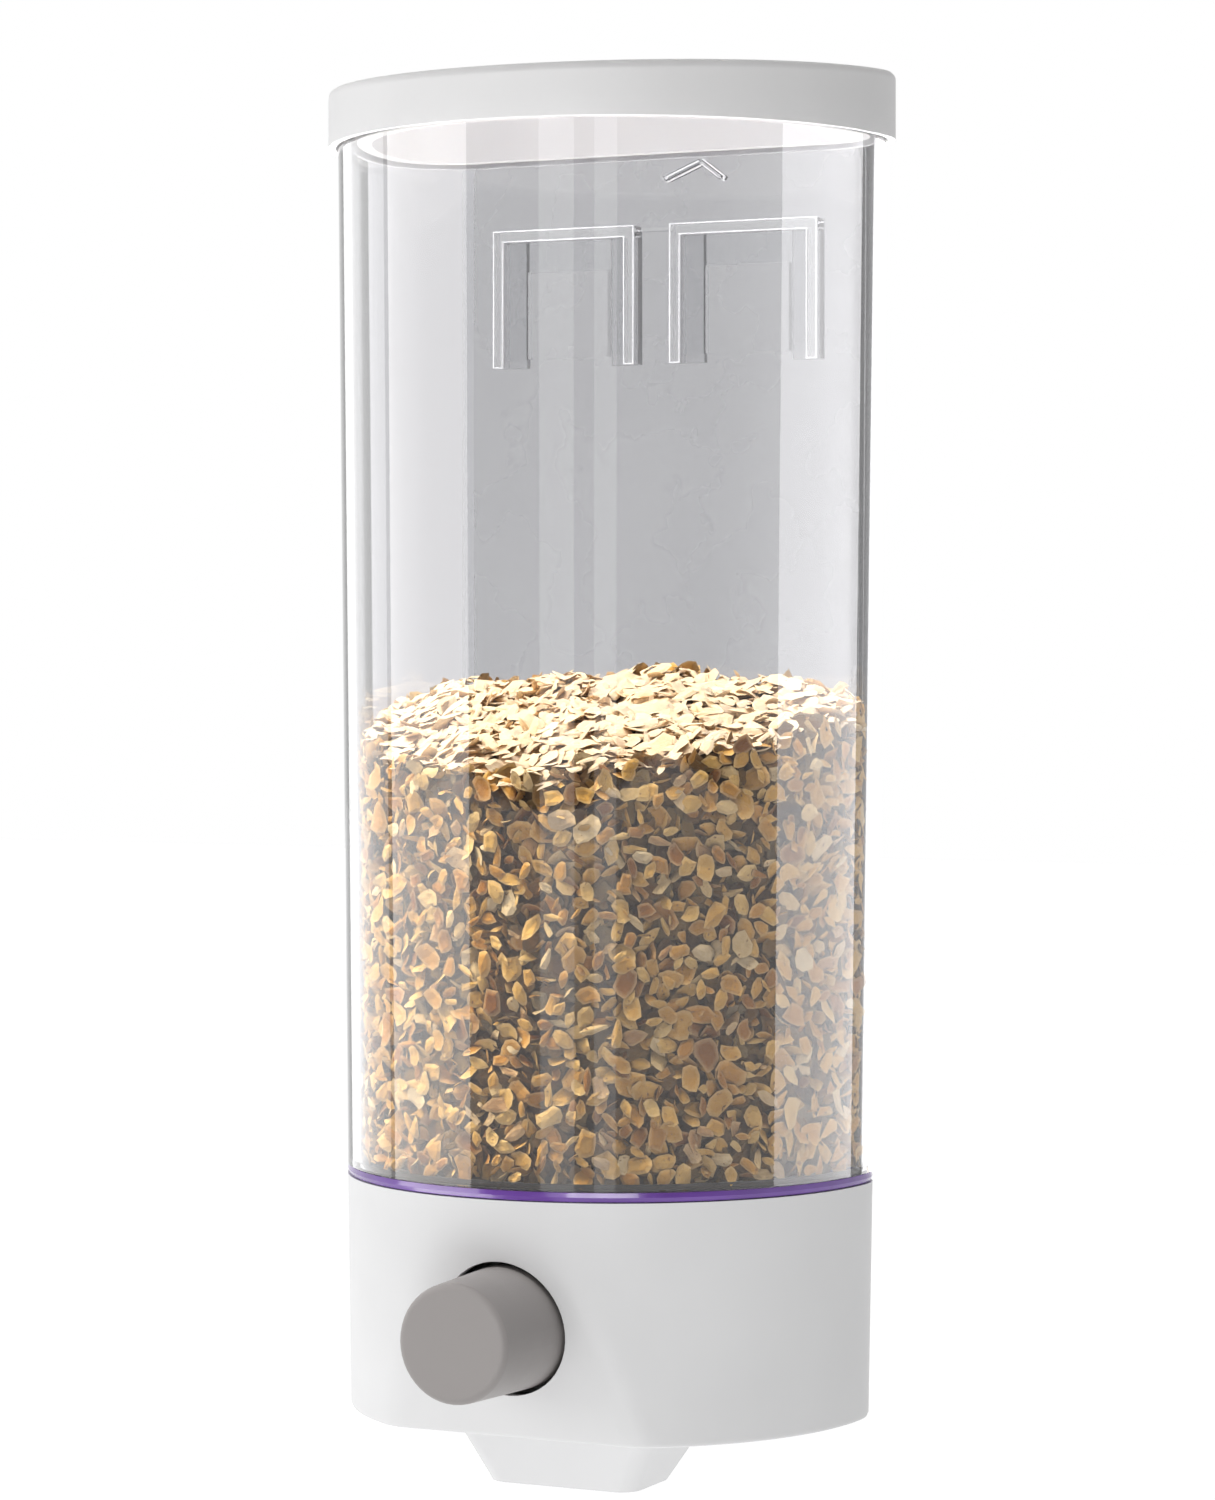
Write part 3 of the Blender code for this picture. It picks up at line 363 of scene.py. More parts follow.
def clear_plastic(name, tint=CLEAR_TINT, rough=(0.006, 0.03), wave=0.00006, ior=STYRENE_IOR, ribs_from=None):
    """Clear styrene that refracts what is behind it and lets lamps light what it holds.

    Behind the depth ribs_from the plastic has almost no tint, and faces that stand out from the back
    get white scattering plastic mixed in, a painted reflection of the bright light clear rib sides catch.
    In front of it painted shade darkens the plastic's colour at grazing angles, where it is seen edge on.
    """
    made = Surface(name)
    made.plain(transmission_weight=1.0, ior=ior)
    colour = made.ramp(made.noise(24, detail=2), ((0.3, shade(tint, 0.985)), (0.7, tint)))
    if ribs_from is not None:
        behind = made.behind(ribs_from)
        # painted shade: the colour turns near-black where the wall is seen edge on, for dark silhouette lines
        grazing = made.node("ShaderNodeLayerWeight").outputs["Facing"]
        edge = made.mix(made.between(grazing, 0.0, 1.0, 0.77, 0.85), colour, EDGE_PAINTED_SHADE)
        colour = made.mix(behind, edge, RIB_TINT)
    made.colour(colour)
    made.rough(made.between(made.noise(60, detail=4), *rough))
    made.bump(((made.noise(26, detail=1, stretch=(1.0, 1.0, 0.25)), wave),))
    solid = made.shader.outputs[0]
    if ribs_from is not None:
        # painted reflection: white scatter on the side faces of the ribs
        solid = made.paint_rib_reflection(solid, behind)
    lamps = made.simple_shader("ShaderNodeBsdfTransparent", (0.95, 0.95, 0.95))
    shadow = made.node("ShaderNodeLightPath").outputs["Is Shadow Ray"]
    made.finish(made.mix_shaders(shadow, solid, lamps))
    return made


def silicone(name, colour, rough=(0.12, 0.24), coat=0.5, passing=0.15):
    """Soft glossy rubber with a little depth to it."""
    made = Surface(name)
    made.plain(coat_weight=coat, coat_roughness=0.06, transmission_weight=passing, ior=1.43)
    made.colour(made.ramp(made.noise(90), ((0.3, shade(colour, 0.85)), (0.7, shade(colour, 1.12)))))
    made.rough(made.between(made.noise(300, detail=4), *rough))
    made.bump(((made.noise(160, detail=2), 0.00003), (made.noise(2200, detail=2), 0.000006)))
    return made


def steel(colour=(0.60, 0.59, 0.57)):
    """Bright drawn steel with fine scratches."""
    made = Surface("steel")
    made.plain(metallic=1.0)
    scratches = made.noise(900, detail=4, stretch=(1.0, 6.0, 1.0))
    made.colour(made.ramp(scratches, ((0.3, shade(colour, 0.8)), (0.7, shade(colour, 1.1)))))
    made.rough(made.between(scratches, 0.22, 0.40))
    made.bump(((scratches, 0.000008),))
    return made


# Each flake draws one tone from 0 to 1, from dark bran to pale meal
OAT_TONES = (
    (0.00, (0.30, 0.11, 0.018)),
    (0.14, (0.62, 0.29, 0.050)),
    (0.38, (0.80, 0.45, 0.095)),
    (0.62, (0.88, 0.54, 0.140)),
    (0.82, (0.92, 0.63, 0.230)),
    (0.93, (0.94, 0.76, 0.460)),
    (1.00, (0.52, 0.22, 0.045)),
)
OAT_MEAL = (0.60, 0.46, 0.30)
OAT_RIM = (0.95, 0.73, 0.40)
OAT_BRAN = (0.36, 0.19, 0.08)
# painted light: the pale colour mixed over flakes on the heap's top
OAT_PAINTED_LIGHT = (0.97, 0.86, 0.68)
# how far ambient occlusion looks, for the painted shade in the gaps between flakes
PAINTED_GAP_SHADE_REACH = 0.0022


def oat_material(name, light=1.0, painted_light_share=0.0, painted_gap_shade=(0.10, 0.06, 0.04)):
    """Rolled oats: every flake has its own tone, with bran specks, a paler rim and a mealy surface.

    light darkens or brightens all of it as painted shade or painted light, painted_light_share mixes a pale
    painted light over it, and hollow is the painted shade left in the gaps between flakes, where ambient
    occlusion finds them.
    """
    made = Surface(name)
    own = made.node("ShaderNodeNewGeometry").outputs["Random Per Island"]
    # light paints shade or light into every colour: a darker copy for flakes in shade
    tones = made.ramp(own, [(place, shade(tone, light)) for place, tone in OAT_TONES])
    mealy = made.noise(700, detail=5, roughness=0.65)
    meal = made.mix(1.0, tones, OAT_MEAL, "MULTIPLY")
    body = made.mix(made.between(mealy, 0.0, 0.55), tones, meal)
    rim = made.node("ShaderNodeAttribute", attribute_name="rim").outputs["Fac"]
    pale = made.mix(made.between(rim, 0.0, 0.40, 0.55, 1.0), body, shade(OAT_RIM, light))
    specks = made.between(made.noise(1500, detail=2), 0.0, 1.0, 0.66, 0.72)
    speckled = made.mix(specks, pale, shade(OAT_BRAN, light))
    # painted light: painted_light_share mixes a pale colour over the flake tones
    with_painted_light = made.mix(painted_light_share, speckled, shade(OAT_PAINTED_LIGHT, light))
    # painted shade: ambient occlusion darkens the colour in the gaps between flakes
    painted_gap_shades = made.node("ShaderNodeAmbientOcclusion", samples=6, only_local=True)
    painted_gap_shades.inputs["Distance"].default_value = PAINTED_GAP_SHADE_REACH
    painted_gap_shade_tone = made.ramp(painted_gap_shades.outputs["AO"], ((0.30, painted_gap_shade), (0.75, WHITE)))
    made.colour(made.mix(1.0, with_painted_light, painted_gap_shade_tone, "MULTIPLY"))
    made.rough(made.between(mealy, 0.55, 0.85))
    made.bump(((mealy, 0.00022), (made.noise(2600), 0.00004)))
    return made


def core_material():
    """What shows in the gaps between the outer flakes: more oats, their shadow painted into dark colours."""
    made = Surface("oats_deep_painted_shade")
    cells = made.cells(330)
    # painted shade: near-black tones for the oats in the shadow behind the outer flakes
    tones = ((0.0, (0.34, 0.22, 0.11)), (0.5, (0.16, 0.09, 0.04)), (1.0, (0.05, 0.03, 0.015)))
    made.colour(made.ramp(cells, tones))
    made.rough(made.between(made.noise(500), 0.7, 0.95))
    made.bump(((cells, 0.0008),))
    return made


def stage_material(name, colour, glow=0.0):
    """Matt paint for the floor and the cards. glow is light of its own."""
    made = Surface(name)
    made.plain(emission_strength=glow)
    made.shader.inputs["Emission Color"].default_value = (*WHITE, 1.0)
    made.colour(made.ramp(made.noise(3), ((0.3, shade(colour, 0.995)), (0.7, colour))))
    made.rough(made.between(made.noise(9), 0.6, 0.7))
    return made


# ---------------------------------------------------------------- smooth shading for the CAD nodes


def smoothing_tree(limit):
    """A geometry node group that welds a CAD mesh and smooths all but its sharp edges."""
    tree = bpy.data.node_groups.new("smooth_faces", "GeometryNodeTree")
    tree.interface.new_socket("Geometry", in_out="INPUT", socket_type="NodeSocketGeometry")
    tree.interface.new_socket("Geometry", in_out="OUTPUT", socket_type="NodeSocketGeometry")
    start = tree.nodes.new("NodeGroupInput")
    end = tree.nodes.new("NodeGroupOutput")
    forget = tree.nodes.new("GeometryNodeRemoveAttribute")
    forget.inputs["Name"].default_value = "custom_normal"
    weld = tree.nodes.new("GeometryNodeMergeByDistance")
    weld.inputs["Distance"].default_value = 0.000002
    faces = tree.nodes.new("GeometryNodeSetShadeSmooth")
    faces.domain = "FACE"
    angle = tree.nodes.new("GeometryNodeInputMeshEdgeAngle")
    sharp = tree.nodes.new("FunctionNodeCompare")
    sharp.data_type = "FLOAT"
    sharp.operation = "GREATER_THAN"
    sharp.inputs["B"].default_value = math.radians(limit)
    edges = tree.nodes.new("GeometryNodeSetShadeSmooth")
    edges.domain = "EDGE"
    edges.inputs["Shade Smooth"].default_value = False
    chain = (start, forget, weld, faces, edges, end)
    for first, second in zip(chain, chain[1:]):
        tree.links.new(first.outputs[0], second.inputs[0])
    tree.links.new(angle.outputs["Unsigned Angle"], sharp.inputs["A"])
    tree.links.new(sharp.outputs[0], edges.inputs["Selection"])
    return tree


def smooth_node(obj, tree):
    """Adds the smoothing to a CAD node as modifiers, which leave its mesh alone."""
    modifier = obj.modifiers.new("smooth_faces", "NODES")
    modifier.node_group = tree
    weighted = obj.modifiers.new("weighted_normals", "WEIGHTED_NORMAL")
    weighted.keep_sharp = True
    weighted.mode = "FACE_AREA_WITH_ANGLE"


# ---------------------------------------------------------------- the oats


def outline_table():
    """Evenly spaced points, outward normals and radii along the D outline at scale 1, and its length."""
    # points for each degree and metre of radius, points for each metre, and a radius that is as good as flat
    arc_density, back_density, flat_radius = 400, 23000, 1.0
    points, normals, radii = [], [], []
    corner_x = HALF_WIDTH - CORNER_RADIUS
    arcs = (
        ((corner_x, -CORNER_RADIUS), CORNER_RADIUS, 90, 0),
        ((0.0, -CORNER_RADIUS), HALF_WIDTH, 0, -180),
        ((-corner_x, -CORNER_RADIUS), CORNER_RADIUS, 180, 90),
    )
    for (x, y), radius, start, end in arcs:
        steps = int(abs(end - start) * radius * arc_density)
        for step in range(steps + 1):
            angle = math.radians(start + (end - start) * step / steps)
            normal = np.array((math.cos(angle), math.sin(angle)))
            points.append(np.array((x, y)) + radius * normal)
            normals.append(normal)
            radii.append(radius)
    steps = int(2 * corner_x * back_density)
    for step in range(1, steps):
        points.append(np.array((-corner_x + 2 * corner_x * step / steps, 0.0)))
        normals.append(np.array((0.0, 1.0)))
        radii.append(flat_radius)
    points, normals, radii = np.array(points), np.array(normals), np.array(radii)
    lengths = np.linalg.norm(np.roll(points, -1, 0) - points, axis=1)
    travelled = np.concatenate(([0.0], np.cumsum(lengths)))
    wanted = np.linspace(0, travelled[-1], OUTLINE_COUNT, endpoint=False)
    picked = np.clip(np.searchsorted(travelled, wanted, side="right") - 1, 0, len(points) - 1)
    return points[picked], normals[picked], radii[picked], travelled[-1]


OUTLINE, OUTLINE_NORMALS, OUTLINE_RADII, OUTLINE_LENGTH = outline_table()


def container_scale(height):
    """How much wider than the outline the container is at a local height."""
    share = (height - BASE_TOP) / (CONTAINER_TOP - BASE_TOP)
    return BASE_TOP_SCALE + (CONTAINER_TOP_SCALE - BASE_TOP_SCALE) * share


def wall_points(places, heights, inset):
    """Points inside the container's wall, with their outward normals and the outline's radii there.

    places run from 0 to 1 round the outline, and inset is measured from the container's outside.
    """
    index = (np.asarray(places) * len(OUTLINE)).astype(int) % len(OUTLINE)
    middle = np.array((0.0, MIDDLE_Y))
    scale = container_scale(np.asarray(heights))[:, None]
    inward = OUTLINE_NORMALS[index] * np.asarray(inset)[:, None]
    flat = middle + (OUTLINE[index] - middle) * scale - inward
    return np.column_stack((flat, heights)), OUTLINE_NORMALS[index], OUTLINE_RADII[index]


def oats_top(x, y):
    """Local height of the heap: high at the back, sloping to the front, with soft lumps."""
    share = np.clip(-y / (DEPTH * 1.02), 0.0, 1.0)
    slope = OATS_BACK_TOP + (OATS_FRONT_TOP - OATS_BACK_TOP) * share ** 1.35
    side = -0.0040 * (np.abs(x) / HALF_WIDTH) ** 2
    lumps = 0.0009 * np.sin(x * 210 + 0.7) * np.cos(y * 170 + x * 60)
    ripples = 0.0006 * np.sin(y * 390 + x * 120 + 2.0)
    return slope + side + (lumps + ripples)


def flake_kinds(random):
    """A few rolled oat shapes: ragged ovals, domed, bent and ruffled. Every fourth is a narrow broken one."""
    kinds = []
    turns = np.arange(FLAKE_POINTS) * 2 * math.pi / FLAKE_POINTS
    for kind in range(FLAKE_KINDS):
        long_side = random.uniform(1.0, 1.35)
        broad_side = random.uniform(0.62, 0.98) if kind % 4 else random.uniform(0.34, 0.55)
        ragged = 1 + random.uniform(-0.23, 0.23, FLAKE_POINTS)
        dome = random.uniform(-0.10, 0.22)
        bend = random.uniform(-0.34, 0.34)
        twist = random.uniform(-0.30, 0.30)
        ruffle = random.uniform(-0.14, 0.14, FLAKE_POINTS)
        rings = []
        for reach in (1.0, 0.58):
            x = np.cos(turns) * ragged * long_side * reach
            y = np.sin(turns) * ragged * broad_side * reach
            z = -dome * reach ** 2 + bend * x * x * 0.5 + twist * x * y + ruffle * reach ** 3
            rings.append(np.column_stack((x, y, z)))
        rim, mid = rings
        crease = random.uniform(-0.04, 0.10)
        thick = FLAKE_THICKNESS / FLAKE_RADIUS / 2
        up = np.array((0.0, 0.0, 1.0))
        vertices = np.vstack((
            rim,
            mid + up * thick,
            mid - up * thick,
            np.array(((0.0, 0.0, thick - crease), (0.0, 0.0, -thick))),
        ))
        kinds.append(vertices)
    return kinds


def flake_faces():
    """The faces that every flake shares: rim, upper and lower ring, and two centres."""
    count = FLAKE_POINTS
    upper, lower, top, bottom = count, 2 * count, 3 * count, 3 * count + 1
    quads, triangles = [], []
    for i in range(count):
        j = (i + 1) % count
        quads.append((i, j, upper + j, upper + i))
        quads.append((j, i, lower + i, lower + j))
        triangles.append((upper + i, upper + j, top))
        triangles.append((lower + j, lower + i, bottom))
    return np.array(quads), np.array(triangles)


def turned(normals, tilt, spin, lean):
    """Rotation matrices that point each flake's z at a normal, lean it over by tilt and spin it."""
    normals = normals / np.linalg.norm(normals, axis=1, keepdims=True)
    helper_axis = np.where(np.abs(normals[:, 2:3]) < 0.9, (0.0, 0.0, 1.0), (1.0, 0.0, 0.0))
    across = np.cross(helper_axis, normals)
    across /= np.linalg.norm(across, axis=1, keepdims=True)
    along = np.cross(normals, across)
    toward = across * np.cos(lean)[:, None] + along * np.sin(lean)[:, None]
    facing = normals * np.cos(tilt)[:, None] + toward * np.sin(tilt)[:, None]
    side = np.cross(toward, normals)
    side /= np.linalg.norm(side, axis=1, keepdims=True)
    third = np.cross(facing, side)
    first = side * np.cos(spin)[:, None] + third * np.sin(spin)[:, None]
    second = np.cross(facing, first)
    return np.stack((first, second, facing), axis=2)


def flake_mesh(name, centres, turns, sizes, random, material):
    """One mesh of many flakes."""
    kinds = flake_kinds(random)
    quads, triangles = flake_faces()
    per_flake = len(kinds[0])
    chosen = random.integers(0, len(kinds), len(centres))
    shapes = np.array(kinds)[chosen] * (sizes * FLAKE_RADIUS)[:, None, None]
    vertices = np.einsum("nij,nvj->nvi", turns, shapes) + centres[:, None, :]
    vertices = vertices.reshape(-1, 3) + LOCAL_ORIGIN
    offsets = (np.arange(len(centres)) * per_flake)[:, None, None]
    all_quads = (quads[None] + offsets).reshape(-1, 4)
    all_triangles = (triangles[None] + offsets).reshape(-1, 3)
    corners = np.concatenate((all_quads.ravel(), all_triangles.ravel())).astype(np.int32)
    starts = np.concatenate((
        np.arange(len(all_quads)) * 4,
        len(all_quads) * 4 + np.arange(len(all_triangles)) * 3,
    )).astype(np.int32)
    mesh = bpy.data.meshes.new(name)
    mesh.vertices.add(len(vertices))
    mesh.vertices.foreach_set("co", vertices.astype(np.float32).ravel())
    mesh.loops.add(len(corners))
    mesh.loops.foreach_set("vertex_index", corners)
    mesh.polygons.add(len(starts))
    mesh.polygons.foreach_set("loop_start", starts)
    mesh.update(calc_edges=True)
    mesh.validate()
    mesh.polygons.foreach_set("use_smooth", np.zeros(len(mesh.polygons), bool))
    rim = mesh.attributes.new("rim", "FLOAT", "POINT")
    one_rim = np.zeros(per_flake)
    one_rim[:FLAKE_POINTS] = 1.0
    one_rim[FLAKE_POINTS:3 * FLAKE_POINTS] = 0.5
    rim.data.foreach_set("value", np.tile(one_rim, len(centres)).astype(np.float32))
    mesh.materials.append(material)
    return link(bpy.data.objects.new(name, mesh))


def any_turns(random, normals, tilt):
    """Each flake's rotation, with a random spin and a random way to lean."""
    spin = random.uniform(0, 2 * math.pi, len(tilt))
    lean = random.uniform(0, 2 * math.pi, len(tilt))
    return turned(normals, tilt, spin, lean)


def wall_flakes(random, depth, steep):
    """Flakes pressed against the inside of the container's wall, one per jittered cell.

    depth is how far inside the wall they lie, and steep how far they lean out of its plane.
    """
    columns = int(OUTLINE_LENGTH / FLAKE_SPACING)
    rows = int((OATS_BACK_TOP - OATS_BOTTOM) / FLAKE_SPACING) + 2
    column, row = (grid.ravel() for grid in np.meshgrid(np.arange(columns), np.arange(rows)))
    count = column.size
    places = (column + 0.5 * (row % 2) + random.uniform(-FLAKE_SWAY, FLAKE_SWAY, count)) / columns
    climb = (row + random.uniform(-FLAKE_SWAY, FLAKE_SWAY, count)) * FLAKE_SPACING
    heights = np.maximum(OATS_BOTTOM + FIRST_ROW + climb, OATS_BOTTOM + LOWEST_FLAKE)
    sizes = random.uniform(*WALL_FLAKE_SIZES, count)
    tilt = np.minimum(np.abs(random.normal(0.0, steep, count)), 1.5)
    reach = sizes * FLAKE_RADIUS * FLAKE_REACH_SHARE
    _, _, radii = wall_points(places, heights, np.zeros(count))
    curved = reach ** 2 / (2 * (radii - CONTAINER_WALL))
    clearance = reach * np.sin(tilt) + curved + FLAKE_THICKNESS * 0.6 + FLAKE_CLEARANCE
    inset = CONTAINER_WALL + clearance + depth + random.uniform(0.0, 0.0007, count)
    points, normals, _ = wall_points(places, heights, inset)
    kept = heights < oats_top(points[:, 0], points[:, 1]) - BELOW_HEAP
    turns = any_turns(random, np.column_stack((normals, np.zeros(count))), tilt)
    return points[kept], turns[kept], sizes[kept]


def top_flakes(random, depth, steep):
    """Flakes lying on the heap, or depth below its surface."""
    across = np.arange(-HALF_WIDTH * 1.05, HALF_WIDTH * 1.05, TOP_FLAKE_SPACING)
    deep = np.arange(-DEPTH * 1.06, 0.004, TOP_FLAKE_SPACING)
    x, y = (grid.ravel() for grid in np.meshgrid(across, deep))
    x = x + random.uniform(-0.5, 0.5, x.size) * TOP_FLAKE_SPACING
    y = y + random.uniform(-0.5, 0.5, y.size) * TOP_FLAKE_SPACING
    z = oats_top(x, y) - depth + random.uniform(-0.0004, 0.0007, x.size)
    sizes = random.uniform(*TOP_FLAKE_SIZES, x.size)
    kept = inside_container(x, y, z, CONTAINER_WALL + 0.0004 + sizes * FLAKE_RADIUS * 1.25)
    x, y, z, sizes = x[kept], y[kept], z[kept], sizes[kept]
    step = 0.0005
    slope_x = (oats_top(x + step, y) - oats_top(x - step, y)) / (2 * step)
    slope_y = (oats_top(x, y + step) - oats_top(x, y - step)) / (2 * step)
    normals = np.column_stack((-slope_x, -slope_y, np.ones(x.size)))
    tilt = np.minimum(np.abs(random.normal(0.0, steep, x.size)), 1.4)
    return np.column_stack((x, y, z)), any_turns(random, normals, tilt), sizes


def inside_container(x, y, z, inset):
    """True where a point is at least inset inside the container's outside."""
    scale = container_scale(z)
    flat_x = np.abs(x)
    arc_y = MIDDLE_Y + (-CORNER_RADIUS - MIDDLE_Y) * scale
    corner_x = (HALF_WIDTH - CORNER_RADIUS) * scale
    in_front = (y <= arc_y) & (np.hypot(x, y - arc_y) < HALF_WIDTH * scale - inset)
    in_corner = np.hypot(np.maximum(flat_x - corner_x, 0.0), y - arc_y) < CORNER_RADIUS * scale - inset
    return in_front | ((y > arc_y) & in_corner)


def oats_core(material):
    """The mass of oats behind the outer flakes, as one closed lump."""
    count, levels, rings = 180, 14, 10
    places = np.arange(count) / count
    inset = np.full(count, CONTAINER_WALL + CORE_INSET)
    edge, _, _ = wall_points(places, np.full(count, 0.12), inset)
    tops = oats_top(edge[:, 0], edge[:, 1]) - CORE_BELOW_TOP
    vertices = []
    for level in range(levels + 1):
        heights = OATS_BOTTOM + (tops - OATS_BOTTOM) * level / levels
        points, _, _ = wall_points(places, heights, inset)
        vertices.extend(points)
    for ring in range(1, rings):
        share = 1 - ring / rings
        x = edge[:, 0] * share
        y = (edge[:, 1] - MIDDLE_Y) * share + MIDDLE_Y
        vertices.extend(np.column_stack((x, y, oats_top(x, y) - CORE_BELOW_TOP)))
    vertices.append((0.0, MIDDLE_Y, float(oats_top(0.0, MIDDLE_Y)) - CORE_BELOW_TOP))
    vertices.append((0.0, MIDDLE_Y, OATS_BOTTOM))
    faces = []
    for level in range(levels + rings - 1):
        for i in range(count):
            j = (i + 1) % count
            low, high = level * count, (level + 1) * count
            faces.append((low + j, low + i, high + i, high + j))
    last = (levels + rings - 1) * count
    for i in range(count):
        j = (i + 1) % count
        faces.append((last + j, last + i, len(vertices) - 2))
        faces.append((i, j, len(vertices) - 1))
    mesh = bpy.data.meshes.new("oats_core")
    mesh.from_pydata([tuple(np.array(v) + LOCAL_ORIGIN) for v in vertices], [], faces)
    mesh.polygons.foreach_set("use_smooth", np.ones(len(mesh.polygons), bool))
    mesh.materials.append(material)
    return link(bpy.data.objects.new("oats_core", mesh))


def make_oats(flakes, painted_shade_flakes, heaped, deep):
    """Two layers of flakes along the wall, two on the heap and a core inside them."""
    random = np.random.default_rng(RANDOM_SEED)
    outer = wall_flakes(random, 0.0, OUTER_TILT)
    inner = wall_flakes(random, INNER_DEPTH, INNER_TILT)
    pieces = [
        flake_mesh("oats_at_wall", *outer, random, flakes),
        # these flakes carry painted shade, a darker copy of the oat colours
        flake_mesh("oats_behind_wall", *inner, random, painted_shade_flakes),
    ]
    tops = (top_flakes(random, 0.0, TOP_TILT), top_flakes(random, UNDER_TOP_DEPTH, UNDER_TOP_TILT))
    heap = [np.concatenate(parts) for parts in zip(*tops)]
    # the flakes on top carry painted light
    pieces.append(flake_mesh("oats_on_top", *heap, random, heaped))
    pieces.append(oats_core(deep))
    for piece in pieces:
        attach(piece, "dispenser")
    return pieces


# ---------------------------------------------------------------- painted highlight lines along the hanging ribs


def back_depth(height):
    """Where the lines lie in the container's back wall."""
    return MIDDLE_Y - MIDDLE_Y * container_scale(height) - CONTAINER_WALL * EDGE_DEPTH_SHARE


def rib_outline(side):
    """The closed path around one inverted U. side is -1 for the left one and 1 for the right one."""
    near, far = RIB_INNER_X, RIB_OUTER_X
    corners = (
        (near, RIB_BOTTOM), (near, RIB_TOP), (far, RIB_TOP), (far, RIB_BOTTOM),
        (far - RIB_WIDTH, RIB_BOTTOM), (far - RIB_WIDTH, RIB_TOP - RIB_WIDTH),
        (near + RIB_WIDTH, RIB_TOP - RIB_WIDTH), (near + RIB_WIDTH, RIB_BOTTOM),
    )
    depth = back_depth(RIB_BOTTOM)
    return [Vector(world((side * x, depth, z))) for x, z in corners]


def catch_outline():
    """The closed path around the slanted catch ribs under the lid."""
    depth = back_depth(CATCH_MARK[1][1])
    above = [(x, z + CATCH_HALF_THICKNESS) for x, z in CATCH_MARK]
    below = [(x, z - CATCH_HALF_THICKNESS) for x, z in reversed(CATCH_MARK)]
    return [Vector(world((x, depth, z))) for x, z in above + below]


def make_painted_rib_highlights(material):
    """Painted highlights: white tubes that draw bright lines along the rounded edges of the clear ribs."""
    pieces = []
    paths = (
        ("painted_rib_highlight_left", rib_outline(-1)),
        ("painted_rib_highlight_right", rib_outline(1)),
        ("painted_catch_highlight", catch_outline()),
    )
    for name, path in paths:
        curve = bpy.data.curves.new(name, "CURVE")
        curve.dimensions = "3D"
        curve.bevel_depth = RIB_HIGHLIGHT_RADIUS
        curve.bevel_resolution = 2
        line = curve.splines.new("POLY")
        line.points.add(len(path) - 1)
        line.use_cyclic_u = True
        for point, place in zip(line.points, path):
            point.co = (*place, 1.0)
        curve.materials.append(material)
        made = link(bpy.data.objects.new(name, curve))
        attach(made, "dispenser")
        pieces.append(made)
    return pieces


# ---------------------------------------------------------------- the spring


def coil_points(low, high):
    """Rings of points along the coil, in one list."""
    x, z = (low.x + high.x) / 2, (low.z + high.z) / 2
    radius = (high.x - low.x) / 2 - SPRING_WIRE
    front, rear = low.y + SPRING_WIRE, high.y - SPRING_WIRE
    steps = SPRING_TURNS * SPRING_STEPS
    points = []
    for step in range(steps + 1):
        share = step / steps
        # the end coils lie closer, as on a real compression spring
        eased = share - 0.035 * math.sin(2 * math.pi * share)
        angle = 2 * math.pi * SPRING_TURNS * share
        centre = Vector((x, front + (rear - front) * eased, z))
        outward = Vector((math.cos(angle), 0.0, math.sin(angle)))
        for side in range(SPRING_SIDES):
            turn = 2 * math.pi * side / SPRING_SIDES
            across = outward * (radius + SPRING_WIRE * math.cos(turn))
            points.append(centre + across + Vector((0, SPRING_WIRE * math.sin(turn), 0)))
    return points


def coil_faces():
    """Faces that join the rings of coil_points, and a cap on each end."""
    steps, sides = SPRING_TURNS * SPRING_STEPS, SPRING_SIDES
    faces = []
    for step in range(steps):
        a, b = step * sides, (step + 1) * sides
        for side in range(sides):
            after = (side + 1) % sides
            faces.append((a + side, a + after, b + after, b + side))
    faces.append(tuple(reversed(range(sides))))
    faces.append(tuple(range(steps * sides, (steps + 1) * sides)))
    return faces


def make_spring(material):
    """The return spring as a smooth coil in place of the CAD spring."""
    low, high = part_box("return_spring")
    mesh = bpy.data.meshes.new("coil_spring")
    mesh.from_pydata(coil_points(low, high), [], coil_faces())
    mesh.polygons.foreach_set("use_smooth", np.ones(len(mesh.polygons), bool))
    mesh.materials.append(material)
    spring = link(bpy.data.objects.new("coil_spring", mesh))
    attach(spring, "dispenser")
    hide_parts("return_spring")
    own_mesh(spring)
    return spring


# ---------------------------------------------------------------- stage, lights and camera


def make_floor(material):
    """A pale floor far below, because the dispenser hangs on a wall."""
    mesh = bpy.data.meshes.new("floor")
    square = ((-1, -1), (1, -1), (1, 1), (-1, 1))
    corners = [(x * FLOOR_REACH, y * FLOOR_REACH, FLOOR_HEIGHT) for x, y in square]
    mesh.from_pydata(corners, [], [(0, 1, 2, 3)])
    mesh.materials.append(material)
    floor = link(bpy.data.objects.new("floor", mesh))
    floor.visible_diffuse = False


def direction(azimuth, elevation=0.0):
    """The unit vector from the dispenser towards a place. Azimuth 0 is in front and 90 on the +X side."""
    a, e = math.radians(azimuth), math.radians(elevation)
    return Vector((math.sin(a) * math.cos(e), -math.cos(a) * math.cos(e), math.sin(e)))


AIM = Vector(world((0.0, MIDDLE_Y, AIM_HEIGHT)))


